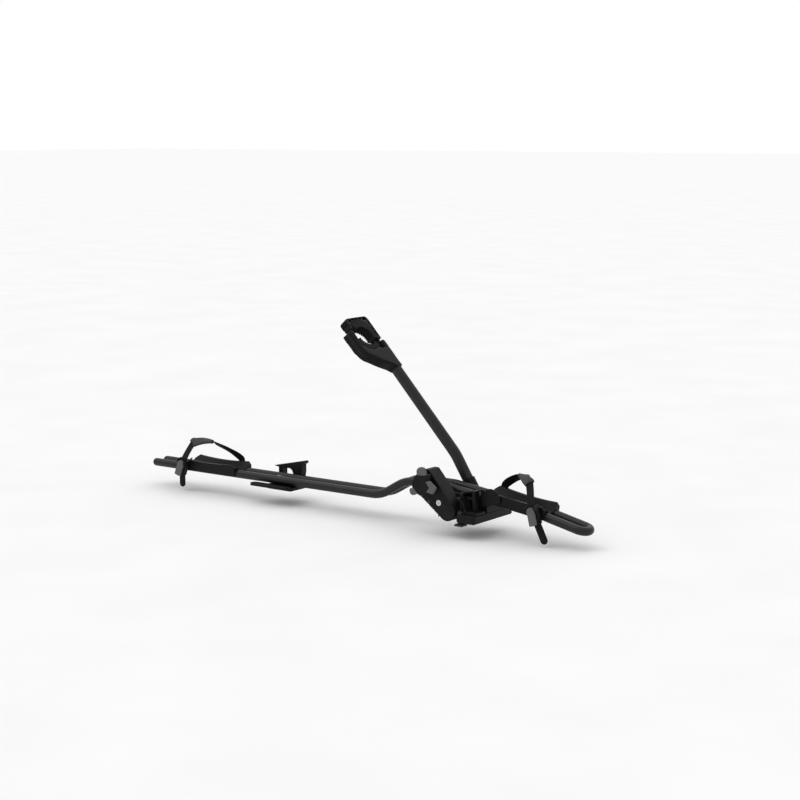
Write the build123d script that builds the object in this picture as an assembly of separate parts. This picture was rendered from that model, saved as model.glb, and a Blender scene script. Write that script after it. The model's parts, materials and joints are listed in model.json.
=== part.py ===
from build123d import *
import math
import os

# Roof carrier that holds one bicycle by its down tube
# All lengths are in millimetres and all angles in degrees
# The origin is the centre of the front foot's seat on the cross bar's top face
# +X points to the front of the car, +Y to the far side (the arm's side), +Z up

# Shared values
overrun = 6.0
running = 0.05
gap = 0.3
seat_gap = 0.05
screw_r = 2.5
screw_head_r = 4.6
screw_head_h = 2.6

# Rail: two parallel tubes that climb over the arm's pivot and slope down to the front
tube_r = 10.75
tube_wall = 1.8
tube_spacing = 41.0
rail_rear_x = -1060.0
rail_level_z = 23.2
rail_rise_x = -285.0
hump_rear_x = -205.0
hump_z = 69.6
hump_front_x = -85.0
slope_x = 190.0
slope_z = 32.0
rail_front_x = 287.0
rail_front_z = 10.2
rail_bend_r = 100.0
web_t = 2.0
cap_spigot = 16.0
slot_w = 7.0

# Wheel trays: moulded channels that sit on the rail
tray_side = 2.75
tray_flare = 2.5
tray_low_y = tube_spacing / 2 + tube_r + tray_side
tray_outer_y = tray_low_y + tray_flare
tray_wall = 3.8
tray_top_n = 25.0
tray_drop = 6.0
tray_floor_half = 9.0
tray_floor_n = 6.5
tray_saddle_r = 900.0
tray_saddle_n = 20.5
tray_corner = 9.0
front_wheel_x = 98.0
front_tray_rear = 71.0
front_tray_front = 107.0
rear_wheel_x = -868.6
rear_tray_rear = 88.0
rear_tray_front = 105.0

# Wheel straps, with their rim pads, buckles and far side rivets
strap_w = 20.0
strap_t = 2.4
rim_half = 15.5
rim_n = 66.0
rim_crown = 6.0
rim_flat = 0.39
strap_turns = 6
pad_grow_w = 6.5
pad_grow_t = 6.0
buckle_stand = 8.0
strap_y = tray_outer_y + buckle_stand
strap_lean = 12.8
buckle_tilt = 21.6
buckle_w = 26.0
buckle_depth = 16.4
buckle_h = 44.0
buckle_back = 7.7
buckle_slot_t = 3.4
cheek_t = 2.8
cheek_reach = 9.0
cheek_h = 18.0
cheek_low = 5.0
spur_h = 13.0
spur_w = 7.0
lever_t = 5.0
lever_h = 44.0
lever_top = 19.0
lever_corner = 6.0
lever_y = 13.7
pin_r = 1.8
pin_z = 15.0
rear_buckle_o = 70.0
rear_buckle_n = 5.0
rear_rim_o = 59.0
rear_rim_far_o = 6.0
rear_far_o = -66.0
rear_tail = 36.0
rear_tail_tilt = 0.0
front_buckle_o = 88.0
front_buckle_n = 4.0
front_rim_o = 46.0
front_rim_far_o = -1.0
front_far_o = -54.0
front_tail = 50.0
front_tail_tilt = 34.0
far_low_n = 5.0
far_bend_n = 29.0
far_stand = 4.1
far_y = tray_outer_y + far_stand
rivet_r = 2.5
rivet_head_r = 5.0
rivet_head_t = 1.8
rivet_n = 10.0
rivet_depth = 5.0

# Front foot
seat_pad_t = 2.5
base_top = 21.0
base_front = 45.0
base_near = 90.0
base_far = 80.0
base_wing_x = -8.5
base_rear = 62.0
base_half_y = 35.5
base_corner_r = 7.0
base_edge_r = 2.5
base_lip = 3.0
base_lip_h = 9.0
tower_side = 2.95
tower_half_y = tube_spacing / 2 + tube_r + tower_side
tower_over = 3.0
tower_front = 45.0
tower_rear = 62.0
cover_t = 6.5
cover_near = 72.0
cover_inner = 12.0
cover_top = 69.5
window_depth = 3.0
window_frame = 3.5
window_split = 0.56
gusset_t = 3.2
gusset_reach = 20.0
shelf_drop = 9.0
plate_stand = 4.0
plate_near = -tray_outer_y - plate_stand
plate_rear = 30.0
plate_front = 86.0
plate_top_rear = 79.5
plate_top_front = 66.0
plate_low_rear = 34.0
plate_low_front = 49.0
plate_corner = 4.0
bolt_r = 4.0
bolt_head_w = 22.0
bolt_head_l = 24.0
bolt_head_t = 4.5
bolt_drop = 3.5
bolt_stand = 9.0
nut_r = 8.5
nut_t = 6.5
near_bolt_y = -79.5
far_bolt_y = 61.5

# Pivot of the arm
pivot_x = -35.0
pivot_z = 25.0
bush_r = 20.0
barrel_r = 17.0
barrel_bore = 8.0
bush_len = 11.0
arm_y = 50.0
knuckle_half = 12.7
knuckle_r = 24.0
arm_angle = 47.2

# Arm tube: a flat oval that leaves the knuckle steeply and bends back to the claw
arm_deep = 29.0
arm_thick = 23.0
arm_wall = 2.0
arm_bend_s = 130.0
arm_start = 27.0
arm_bend_r = 160.0
socket_wall = 3.2
socket_len = 62.0
flex_r = 1.6

# Drive housing on the near side, with the knob, lock and belt drive
house_near = -90.0
house_split = -70.0
house_far = -48.0
house_r = 24.7
house_low_angle = -98.7
house_back_angle = -168.0
house_top_angle = 124.0
house_crest_angle = 58.0
knob_s = 87.0
house_end_r = 32.0
house_corner_s = 84.0
house_corner_b = -39.5
house_knee_s = 106.0
house_knee_b = -29.0
house_wall = 4.0
cavity_r = 19.0
house_edge_r = 3.0
pulley_r = 13.0
pulley_w = 8.0
pulley_near = -77.0
belt_t = 2.2
shaft_r = 5.0
knob_shaft_r = 5.0
knob_near = -113.0
knob_far = -93.0
knob_centre_r = 20.0
knob_lobe_r = 13.0
knob_lobe_at = 26.0
knob_tip_from = 28.5
knob_first_angle = 98.0
knob_lobes = 3
knob_cap_r = 11.0
knob_cap_t = 1.8
clutch_r = 15.0
clutch_t = 3.6
spring_r = 12.0
spring_t = 1.6
spring_turns = 3
spring_pitch = 2.1
lock_s = 28.0
lock_b = -4.0
lock_r = 7.0
lock_len = 11.0
lock_proud = 1.6
lock_slot_w = 1.6
lock_slot_l = 8.0
lock_slot_d = 2.5
house_screw_s = 48.0
house_screw_b = -27.0
house_screw_end_s = 60.0
house_screw_end_b = 22.6
notch_w = 4.0
notch_d = 1.6
notch_shares = (0.30, 0.52, 0.74, 0.90)
wheel_r = 9.0
wheel_len = 12.0

# Claw on the arm's end: a fixed palm with a near finger and one swinging jaw
claw_x = -358.0
claw_z = 410.0
grip_r = 26.3
claw_r = 41.8
claw_low = -13.0
claw_high = 17.0
finger_tip_a = 22.0
finger_outer = 46.5
finger_cut_b = 7.0
roll_r = 4.2
palm_knee_a = -34.0
palm_low_a = -67.0
palm_low_q = 21.5
palm_mid_a = -86.0
palm_mid_q = -8.0
palm_foot_a = -103.0
palm_foot_q = -38.0
palm_far_q = -64.0
palm_far_r = 9.0
palm_back_a = -52.0
palm_stop_angle = 226.0
palm_sleeve = 16.0
palm_collar_t = 2.6
palm_collar_len = 22.0
hinge_a = -38.0
hinge_q = -53.0
hinge_lug_r = 9.5
hinge_lug_reach = 20.0
hinge_lug_near = 9.0
hinge_pin_r = 4.0
hinge_slot_half = 9.0
hinge_slot_r = 21.5
jaw_hub_half = 8.4
jaw_hub_r = 6.5
jaw_centre_a = 6.0
jaw_low = -10.0
jaw_high = 16.0
jaw_root_a = -15.0
jaw_top_a = 58.0
jaw_far_q = -52.0
jaw_near_q = 36.0
jaw_tip_a = 36.0
jaw_corner_r = 10.0
jaw_edge_r = 2.2
jaw_swing_r = 30.0
jaw_throw = 10.0
jaw_tail = 14.5
jaw_tail_half = 3.3
jaw_tail_half_b = 3.0
fork_pin_r = 1.5
fork_half = 2.9
fork_half_b = 5.2
fork_rear = 20.0
fork_neck = 6.5
fork_front = 3.5
fork_slide_rear = 3.0
drive_screw_r = 1.8
drive_screw_rear = 3.0
drive_screw_reach = 8.0
pad_from_angle = 100.0
pad_to_angle = 220.0
jaw_pad_from = -106.0
jaw_pad_to = 34.0
pad_groove = 2.2
pad_groove_w = 2.6
pad_groove_step = 12.0
jaw_pad_reach = 14.0

# Rear foot: a low plate that slides along the rail and clamps the rear bar
rear_bar_x = -606.0
rear_pad_t = 2.0
rear_plate_top = 9.0
rear_plate_front = 41.0
rear_plate_rear = 52.0
rear_plate_half = 38.0
rear_tongue_y = -45.0
rear_tongue_w = 24.0
rear_tongue_low = 6.5
rear_tongue_top = 13.0
rear_tongue_rear = 88.0
rear_block_half_l = 26.0
rear_block_half_w = 8.6
rear_lug_y = 48.0
rear_lug_half = 13.0
lever_pin_z = 24.0
lever_pin_r = 3.5
clamp_lever_half = 9.5
clamp_eye_half = 4.0
clamp_tip_x = -80.0
clamp_tip_z = 46.0
clamp_top_x = 21.0
clamp_top_z = 68.0
clamp_front_x = 15.5
clamp_lip_x = 24.0
clamp_lip_h = 11.0
clamp_leg_x = -64.0
clamp_leg_w = 14.0
clamp_leg_z = 13.0
clamp_skin = 8.0
clamp_arch_x = -18.0
cam_r = 12.7
cam_offset = 2.0
clamp_front_low = 39.0


def rail_z(x):
    """Height of the tubes' centre line on the straight run between the hump and the front bend."""
    share = (x - hump_front_x) / (slope_x - hump_front_x)
    return hump_z + (slope_z - hump_z) * share


tilt = math.degrees(math.atan2(hump_z - slope_z, slope_x - hump_front_x))
nose_tilt = math.degrees(math.atan2(slope_z - rail_front_z, rail_front_x - slope_x))
tube_y = tube_spacing / 2


def along(angle):
    """Unit vector in the XZ plane that points forward and down by the angle."""
    return Vector(math.cos(math.radians(angle)), 0, -math.sin(math.radians(angle)))


def square_to(angle):
    """Unit vector in the XZ plane at right angles to along(angle), upward."""
    return Vector(math.sin(math.radians(angle)), 0, math.cos(math.radians(angle)))


def tilted(x, z, angle):
    """Plane at (x, 0, z) whose X runs forward and down by the angle, and whose Y is the part's Y."""
    return Plane(origin=(x, 0, z), x_dir=along(angle), z_dir=square_to(angle))


slope_frame = tilted(hump_front_x, hump_z, tilt)
front_tray_frame = tilted(front_wheel_x, rail_z(front_wheel_x), tilt)
rear_tray_frame = tilted(rear_wheel_x, rail_level_z, 0)
nose_frame = tilted(rail_front_x, rail_front_z, nose_tilt)

# The arm's frame has X along the arm, Y towards the near side and Z across the arm, up and forward
arm_dir = Vector(-math.cos(math.radians(arm_angle)), 0, math.sin(math.radians(arm_angle)))
arm_up = Vector(math.sin(math.radians(arm_angle)), 0, math.cos(math.radians(arm_angle)))
arm_frame = Plane(origin=(pivot_x, 0, pivot_z), x_dir=arm_dir, z_dir=arm_up)
claw_frame = Plane(origin=(claw_x, 0, claw_z), x_dir=arm_dir, z_dir=arm_up)


def block(x0, x1, y0, y1, z0, z1):
    """Box between two corners."""
    centre = Pos((x0 + x1) / 2, (y0 + y1) / 2, (z0 + z1) / 2)
    return centre * Box(x1 - x0, y1 - y0, z1 - z0)


def rod_y(x, z, radius, y0, y1):
    """Cylinder along Y."""
    return Pos(x, (y0 + y1) / 2, z) * Rot(90, 0, 0) * Cylinder(radius, y1 - y0)


def rod_x(y, z, radius, x0, x1):
    """Cylinder along X."""
    return Pos((x0 + x1) / 2, y, z) * Rot(0, 90, 0) * Cylinder(radius, x1 - x0)


def rod_z(x, y, radius, z0, z1):
    """Cylinder along Z."""
    return Pos(x, y, (z0 + z1) / 2) * Cylinder(radius, z1 - z0)


def xz_prism(outline, y0, y1):
    """Outline of (x, z) points, extruded from y0 to y1."""
    base = Plane(origin=(0, y1, 0), x_dir=(1, 0, 0), z_dir=(0, -1, 0))
    return extrude(base * make_face(Polyline(*outline, close=True)), amount=y1 - y0)


def xy_prism(face, z0, z1):
    """Face in the XY plane, extruded from z0 to z1."""
    return extrude(Pos(0, 0, z0) * face, amount=z1 - z0)


def polar(radius, angle):
    return (radius * math.cos(math.radians(angle)), radius * math.sin(math.radians(angle)))


def ring_sector(inner, outer, start, end):
    """Face between two arcs round the origin of the XY plane."""
    middle = (start + end) / 2
    lines = ThreePointArc(polar(inner, start), polar(inner, middle), polar(inner, end))
    lines += Line(polar(inner, end), polar(outer, end))
    lines += ThreePointArc(polar(outer, end), polar(outer, middle), polar(outer, start))
    lines += Line(polar(outer, start), polar(inner, start))
    return make_face(lines)


def placed(plane, shape):
    return plane.location * shape


# Rail

def rail_path(y):
    points = [
        (rail_rear_x, y, rail_level_z),
        (rail_rise_x, y, rail_level_z),
        (hump_rear_x, y, hump_z),
        (hump_front_x, y, hump_z),
        (slope_x, y, slope_z),
        (rail_front_x, y, rail_front_z),
    ]
    return FilletPolyline(*points, radius=rail_bend_r)


def rail_tube(side):
    path = rail_path(side * tube_y)
    section = Circle(tube_r) - Circle(tube_r - tube_wall)
    return sweep(Plane(origin=path @ 0, x_dir=(0, 1, 0), z_dir=path % 0) * section, path=path)


def rail_room(grow):
    """Space of both tubes and the web, grown all round."""
    shapes = []
    for side in (-1, 1):
        path = rail_path(side * tube_y)
        plane = Plane(origin=path @ 0, x_dir=(0, 1, 0), z_dir=path % 0)
        shapes.append(sweep(plane * Circle(tube_r + grow), path=path))
    path = rail_path(0)
    plane = Plane(origin=path @ 0, x_dir=(0, 1, 0), z_dir=path % 0)
    shapes.append(sweep(plane * Rectangle(tube_spacing, web_t + 2 * grow), path=path))
    return shapes


def rail_web():
    path = rail_path(0)
    section = Rectangle(tube_spacing - 2 * tube_r, web_t)
    web = sweep(Plane(origin=path @ 0, x_dir=(0, 1, 0), z_dir=path % 0) * section, path=path)
    for x0, x1 in ((tray_slot_rear, tray_slot_front), (foot_slot_rear, foot_slot_front)):
        web -= block(x0, x1, -slot_w / 2, slot_w / 2, rail_level_z - overrun, rail_level_z + overrun)
    return web


def rail_rear_caps():
    """Domed plugs in the tubes' rear ends."""
    caps = []
    for side in (-1, 1):
        dome = Pos(rail_rear_x, side * tube_y, rail_level_z) * Sphere(tube_r)
        size = tube_r + overrun
        dome -= block(rail_rear_x, rail_rear_x + size, side * tube_y - size, side * tube_y + size,
                      rail_level_z - size, rail_level_z + size)
        spigot_r = tube_r - tube_wall - seat_gap
        spigot = rod_x(side * tube_y, rail_level_z, spigot_r, rail_rear_x, rail_rear_x + cap_spigot)
        caps.append(dome + spigot)
    return Compound(children=caps)


def rail_nose():
    """Rounded bend that closes both tubes at the front."""
    size = tube_y + tube_r + overrun
    bend = Torus(tube_y, tube_r) - block(-size, 0, -size, size, -size, size)
    for side in (-1, 1):
        bend += rod_x(side * tube_y, 0, tube_r - tube_wall - seat_gap, -cap_spigot, 0)
    return placed(nose_frame, bend)


# Wheel trays

def tray_body(rear, front):
    """Channel in its own frame: X along the rail, Z up from the tubes' centre line."""
    half = [
        (tray_low_y, -tray_drop),
        (tray_outer_y, tray_top_n),
        (tray_outer_y - tray_wall, tray_top_n),
        (tray_floor_half, tray_floor_n),
    ]
    outline = half + [(-y, n) for y, n in reversed(half)]
    section = make_face(Polyline(*outline, close=True))
    for side in (-1, 1):
        section -= Pos(side * tube_y, 0) * Circle(tube_r + gap / 2)
    low = Pos(0, (web_t / 2 + gap - tray_drop - overrun) / 2)
    section -= low * Rectangle(tube_spacing, web_t / 2 + gap + tray_drop + overrun)
    start = Plane(origin=(-rear, 0, 0), x_dir=(0, 1, 0), z_dir=(1, 0, 0))
    body = extrude(start * section, amount=rear + front)
    middle = (front - rear) / 2
    reach = tray_outer_y + overrun
    body -= rod_y(middle, tray_saddle_n + tray_saddle_r, tray_saddle_r, -reach, reach)
    for x, away in ((-rear, -1), (front, 1)):
        corner = [
            (x + away * overrun, tray_top_n - tray_corner - overrun),
            (x + away * overrun, tray_top_n + overrun),
            (x - away * (tray_corner + overrun), tray_top_n + overrun),
        ]
        body -= xz_prism(corner, -reach, reach)
    return body


def front_wheel_tray():
    body = tray_body(front_tray_rear, front_tray_front)
    body -= rivet_hole(front_far_o)
    return placed(front_tray_frame, body) - rail_room(gap / 2)


def rear_wheel_tray():
    body = tray_body(rear_tray_rear, rear_tray_front)
    body -= rivet_hole(-rear_far_o)
    body -= rod_z(0, 0, screw_r + gap, 0, tray_floor_n + overrun)
    return placed(rear_tray_frame, body)


def rivet_hole(u):
    return rod_y(u, rivet_n, rivet_r + running, tray_low_y - rivet_depth, far_y)


# Straps

def ribbon(points, normals, width, thickness):
    """Flat band through the points, with its broad face square to the normals."""
    sections = []
    for i, point in enumerate(points):
        before = points[max(i - 1, 0)]
        after = points[min(i + 1, len(points) - 1)]
        run = (after - before).normalized()
        flat = (normals[i] - run * normals[i].dot(run)).normalized()
        side = run.cross(flat)
        corners = []
        for a, b in ((-1, -1), (1, -1), (1, 1), (-1, 1)):
            corners.append(point + side * (a * width / 2) + flat * (b * thickness / 2))
        sections.append(make_face(Polyline(*corners, close=True)))
    return loft(sections, ruled=True)


def strap_line(spec):
    """Points and outward normals of a strap, in its tray's frame.

    The first points are the free tail and the run through the buckle, then the band
    climbs to the rim, turns over it and goes down outside the far wall."""
    out = spec["out"]
    up_o = -math.sin(math.radians(buckle_tilt))
    up_n = math.cos(math.radians(buckle_tilt))
    tail_o = math.sin(math.radians(spec["tail_tilt"]))
    tail_n = -math.cos(math.radians(spec["tail_tilt"]))
    reach = buckle_h / 2 + strap_t
    aside = reach * math.tan(math.radians(strap_lean))
    low = (spec["buckle_o"] - up_o * reach, spec["buckle_n"] - up_n * reach)
    high = (spec["buckle_o"] + up_o * reach, spec["buckle_n"] + up_n * reach)
    near = Vector(0, -1, 0)
    far = Vector(0, 1, 0)
    rows = [
        (low[0] + tail_o * spec["tail"], aside - strap_y, low[1] + tail_n * spec["tail"], near),
        (low[0], aside - strap_y, low[1], near),
        (high[0], -aside - strap_y, high[1], near),
    ]
    for i in range(strap_turns + 1):
        share = i / strap_turns
        angle = math.pi * (1 - share)
        y = rim_half * math.cos(angle)
        n = rim_n + rim_crown * math.sin(angle)
        o = spec["rim_o"] + (spec["rim_far_o"] - spec["rim_o"]) * share
        rows.append((o, y, n, Vector(0, math.cos(angle), math.sin(angle) + rim_flat)))
    rows[3] = rows[3][:3] + (Vector(0, -1, 1),)
    rows[-1] = rows[-1][:3] + (Vector(0, 1, 1),)
    rows.append((spec["far_o"], far_y, far_bend_n, far))
    rows.append((spec["far_o"], far_y, far_low_n, far))
    points = [Vector(out * o, y, n) for o, y, n, normal in rows]
    return points, [row[3] for row in rows]


rear_strap_spec = {
    "out": -1,
    "buckle_o": rear_buckle_o,
    "buckle_n": rear_buckle_n,
    "rim_o": rear_rim_o,
    "rim_far_o": rear_rim_far_o,
    "far_o": rear_far_o,
    "tail": rear_tail,
    "tail_tilt": rear_tail_tilt,
}
front_strap_spec = {
    "out": 1,
    "buckle_o": front_buckle_o,
    "buckle_n": front_buckle_n,
    "rim_o": front_rim_o,
    "rim_far_o": front_rim_far_o,
    "far_o": front_far_o,
    "tail": front_tail,
    "tail_tilt": front_tail_tilt,
}


def strap(spec):
    points, normals = strap_line(spec)
    band = ribbon(points, normals, strap_w, strap_t)
    hole = rod_y(spec["out"] * spec["far_o"], rivet_n, rivet_r + gap, far_y - overrun, far_y + overrun)
    return band - hole


def rim_pad(spec):
    """Sleeve round the strap where it crosses the rim."""
    points, normals = strap_line(spec)
    first = 3
    last = first + strap_turns
    outer = ribbon(points[first:last + 1], normals[first:last + 1],
                   strap_w + pad_grow_w, strap_t + pad_grow_t)
    slot = ribbon(points[first - 1:last + 2], normals[first - 1:last + 2],
                  strap_w + 2 * gap, strap_t + 2 * gap)
    return outer - slot


def buckle_plane(spec):
    """Frame of a buckle: Z up along the strap, Y the part's Y, centred on the strap."""
    lean = spec["out"] * buckle_tilt
    up = Vector(-math.sin(math.radians(lean)), 0, math.cos(math.radians(lean)))
    side = Vector(math.cos(math.radians(lean)), 0, math.sin(math.radians(lean)))
    origin = (spec["out"] * spec["buckle_o"], -strap_y, spec["buckle_n"])
    return Plane(origin=origin, x_dir=side, z_dir=up)


def buckle_body(spec):
    half = buckle_w / 2
    front_y = buckle_back - buckle_depth
    body = block(-half, half, front_y, buckle_back, -buckle_h / 2, buckle_h / 2)
    body = chamfer(body.edges().filter_by(Axis.Z), length=cheek_t / 2)
    slot_half = buckle_slot_t / 2
    slot = block(-strap_w / 2 - gap * 2, strap_w / 2 + gap * 2, -slot_half, slot_half, -buckle_h, buckle_h)
    body -= Rot(strap_lean, 0, 0) * slot
    for side in (-1, 1):
        cheek = [
            (front_y + cheek_t, cheek_low),
            (front_y - cheek_reach, pin_z - pin_r * 2),
            (front_y - cheek_reach, pin_z + pin_r * 2),
            (front_y + cheek_t, cheek_low + cheek_h),
        ]
        base = Plane(origin=(min(side * half, side * (half - cheek_t)), 0, 0),
                     x_dir=(0, 1, 0), z_dir=(1, 0, 0))
        body += extrude(base * make_face(Polyline(*cheek, close=True)), amount=cheek_t)
    body -= rod_x(-lever_y, pin_z, pin_r + seat_gap, -half - overrun, half + overrun)
    inward = -spec["out"]
    spur = [
        (inward * (strap_w / 2 + 3 * gap), buckle_h / 2),
        (inward * half, buckle_h / 2 - spur_w),
        (inward * (half + spur_w / 2), buckle_h / 2 + spur_h),
    ]
    body += xz_prism(spur, buckle_back - cheek_t * 2, buckle_back)
    return placed(buckle_plane(spec), body)


def buckle_lever(spec):
    """Flat lever between the buckle's cheeks, hinged near its upper end."""
    half = buckle_w / 2 - cheek_t - gap
    bottom = lever_top - lever_h
    outline = [
        (-half + lever_corner, lever_top),
        (half - lever_corner, lever_top),
        (half, lever_top - lever_corner),
        (half, bottom + lever_corner / 2),
        (half - lever_corner, bottom),
        (-half, bottom),
        (-half, lever_top - lever_corner),
    ]
    plate = xz_prism(outline, -lever_y - lever_t / 2, -lever_y + lever_t / 2)
    plate -= rod_x(-lever_y, pin_z, pin_r + running, -buckle_w, buckle_w)
    return placed(buckle_plane(spec), plate)


def buckle_pin(spec):
    return placed(buckle_plane(spec), rod_x(-lever_y, pin_z, pin_r, -buckle_w / 2, buckle_w / 2))


def strap_rivet(spec, frame):
    u = spec["out"] * spec["far_o"]
    head_y = far_y + strap_t / 2 + gap
    body = rod_y(u, rivet_n, rivet_r, tray_low_y - rivet_depth + gap, head_y)
    body += rod_y(u, rivet_n, rivet_head_r, head_y, head_y + rivet_head_t)
    return placed(frame, body)


# Clamps that hold the rear tray and the rear foot to the web

def web_screw(x, low, high):
    """Pan head screw, head up."""
    body = rod_z(x, 0, screw_r, low, high)
    return body + rod_z(x, 0, screw_head_r, high, high + screw_head_h)


tray_travel_rear = 100.0
tray_travel_front = 40.0
foot_travel_rear = 16.0
foot_travel_front = 150.0
tray_clamp_half = 14.0
tray_clamp_t = 3.0
foot_screw_back = 30.0
foot_screw_x = rear_bar_x - foot_screw_back
foot_clamp_half = 12.0
foot_clamp_t = 3.0
tray_slot_rear = rear_wheel_x - tray_travel_rear - slot_w
tray_slot_front = rear_wheel_x + tray_travel_front + slot_w
foot_slot_rear = foot_screw_x - foot_travel_rear - slot_w
foot_slot_front = foot_screw_x + foot_travel_front + slot_w
web_low = rail_level_z - web_t / 2
web_high = rail_level_z + web_t / 2
groove_half = tube_y - tube_r - 2 * gap


def rear_tray_clamp():
    top = web_low - gap
    plate = block(rear_wheel_x - tray_clamp_half, rear_wheel_x + tray_clamp_half,
                  -groove_half, groove_half, top - tray_clamp_t, top)
    return plate - rod_z(rear_wheel_x, 0, screw_r + seat_gap, top - 2 * tray_clamp_t, top + overrun)


def rear_tray_screw():
    low = web_low - gap - tray_clamp_t - screw_r
    return web_screw(rear_wheel_x, low, rail_level_z + tray_floor_n + gap / 2)


# Front foot

def pivot_rod(radius, y0, y1):
    return rod_y(pivot_x, pivot_z, radius, y0, y1)


def front_foot_base():
    """Low block on the bar, hollowed round the arm's two hubs, with half of the bearing seat."""
    wings = block(base_wing_x, base_front, -base_near, base_far, seat_pad_t, base_top)
    wings = fillet(wings.edges().filter_by(Axis.Z), radius=base_corner_r)
    core = block(-base_rear, base_front - base_corner_r, -base_half_y, base_half_y, seat_pad_t, base_top)
    core = fillet(core.edges().filter_by(Axis.Z), radius=base_corner_r / 2)
    lip = block(base_wing_x, base_front, -base_near, base_far, seat_pad_t, base_lip_h)
    lip = fillet(lip.edges().filter_by(Axis.Z), radius=base_corner_r)
    body = fillet(wings.edges().group_by(Axis.Z)[-1], radius=base_edge_r) + core + lip
    clear = house_r + 2 * gap
    body -= pivot_rod(clear, -base_near - overrun, -base_half_y - gap)
    body -= pivot_rod(clear, base_half_y + gap, base_far + overrun)
    body -= pivot_rod(bush_r + seat_gap, -base_near, base_far)
    for y in (near_bolt_y, far_bolt_y):
        body -= rod_z(0, y, bolt_r + gap / 2, -overrun, base_top + overrun)
    return body


def front_foot_pad():
    """Rubber mat between the base and the bar."""
    inset = base_lip
    mat = block(base_wing_x + inset, base_front - inset, -base_near + inset, base_far - inset, 0, seat_pad_t)
    mat += block(-base_rear + inset, 0, -base_half_y + inset, base_half_y - inset, 0, seat_pad_t)
    mat -= pivot_rod(house_r + 2 * gap, -base_near, -base_half_y + inset)
    mat -= pivot_rod(house_r + 2 * gap, base_half_y - inset, base_far)
    for y in (near_bolt_y, far_bolt_y):
        mat -= rod_z(0, y, bolt_r + gap, -overrun, overrun)
    return mat


def slope_x_of(x):
    """Distance along the sloped rail from the hump's front corner to the given X."""
    return (x - hump_front_x) / math.cos(math.radians(tilt))


def slope_rods(radius, x0, x1):
    """Both tubes' outlines on the straight slope."""
    rods = rod_x(-tube_y, 0, radius, slope_x_of(x0), slope_x_of(x1))
    rods += rod_x(tube_y, 0, radius, slope_x_of(x0), slope_x_of(x1))
    return placed(slope_frame, rods)


def front_foot_tower():
    """Saddle that carries the rail over the pivot, with the other half of the bearing seat."""
    step_x = front_wheel_x - front_tray_rear * math.cos(math.radians(tilt)) - 4 * gap
    tray_low = tray_drop + gap
    outline = [
        (-tower_rear, base_top),
        (tower_front, base_top),
        (tower_front, rail_z(tower_front) - tray_low),
        (step_x, rail_z(step_x) - tray_low),
        (step_x, rail_z(step_x) + tower_over),
        (-tower_rear, rail_z(-tower_rear) + tower_over),
    ]
    body = xz_prism(outline, -tower_half_y, tower_half_y)
    body -= slope_rods(tube_r + gap / 2, hump_front_x - overrun, slope_x)
    low = -web_t / 2 - gap
    inner = tube_y - tube_r + gap
    groove = block(-overrun, slope_x_of(slope_x), -inner, inner, low, tube_r + overrun)
    body -= placed(slope_frame, groove)
    body -= pivot_rod(bush_r + seat_gap, -base_near, base_far)
    pocket_front = tower_front - base_corner_r
    pocket_rear = pivot_x + bush_r + base_corner_r
    body -= block(pocket_rear, pocket_front, -inner, inner, base_top - overrun, rail_z(pocket_front) - tube_r)
    return body


def front_foot_cover():
    """Window wall beside the housing, with a shelf that fills the space next to the near tube."""
    x1 = base_wing_x + cover_t
    wall = block(base_wing_x, x1, -cover_near, -cover_inner, base_top, cover_top)
    wall = fillet(wall.edges().filter_by(Axis.X).group_by(Axis.Z)[-1], radius=base_corner_r)
    wall -= slope_rods(tube_r + gap / 2, hump_front_x, slope_x)
    keep = block(base_wing_x - overrun, x1 + overrun, -tower_half_y - gap / 2, 0, 0,
                 rail_z(base_wing_x) + tower_over + gap)
    wall -= keep
    near = -cover_near + window_frame
    far = -tower_half_y - window_frame
    split = base_top + (cover_top - base_top) * window_split
    upper = [(near, split + window_frame), (far, split - window_frame), (far, cover_top - window_frame),
             (near + window_frame, cover_top - window_frame * 2)]
    lower = [(near, base_top + window_frame), (far, base_top + window_frame),
             (far, split - 2 * window_frame), (near, split - window_frame)]
    start = Plane(origin=(x1 - window_depth, 0, 0), x_dir=(0, 1, 0), z_dir=(1, 0, 0))
    for outline in (upper, lower):
        wall -= extrude(start * make_face(Polyline(*outline, close=True)), amount=overrun)
    for y in (-cover_near + window_frame, -tower_half_y - gusset_t - gap):
        gusset = [(x1, base_top), (x1 + gusset_reach, base_top), (x1, split + gusset_reach)]
        wall += xz_prism(gusset, y - gusset_t / 2, y + gusset_t / 2)
    shelf_top = rail_z(base_wing_x)
    outline = [
        (-tower_rear, rail_z(-tower_rear)),
        (base_wing_x, shelf_top),
        (base_wing_x, shelf_top - shelf_drop),
        (-tower_rear, rail_z(-tower_rear) - shelf_drop),
    ]
    return wall + xz_prism(outline, house_far + gap * 2, -tower_half_y - gap / 2)


def front_side_plate():
    """Bare plate beside the tray's rear end, with a boss that reaches the saddle."""
    outline = [
        (plate_rear, plate_low_rear),
        (plate_front - plate_corner, plate_low_front - plate_corner / 4),
        (plate_front, plate_low_front + plate_corner),
        (plate_front, plate_top_front),
        (plate_rear + plate_corner, plate_top_rear - plate_corner / 4),
        (plate_rear, plate_top_rear - plate_corner),
    ]
    plate = xz_prism(outline, plate_near, -tray_outer_y - gap)
    boss = block(plate_rear + plate_corner, tower_front - gap, -tray_outer_y - gap, -tower_half_y - gap / 2,
                 plate_low_rear + plate_corner, rail_z(tower_front) - tray_drop - plate_corner)
    return plate + boss


def pivot_bushes():
    rings = []
    for y0, y1 in ((-base_half_y, -base_half_y + bush_len), (base_half_y - bush_len, base_half_y)):
        rings.append(pivot_rod(bush_r, y0, y1) - pivot_rod(barrel_r + running, y0 - overrun, y1 + overrun))
    return Compound(children=rings)


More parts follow.
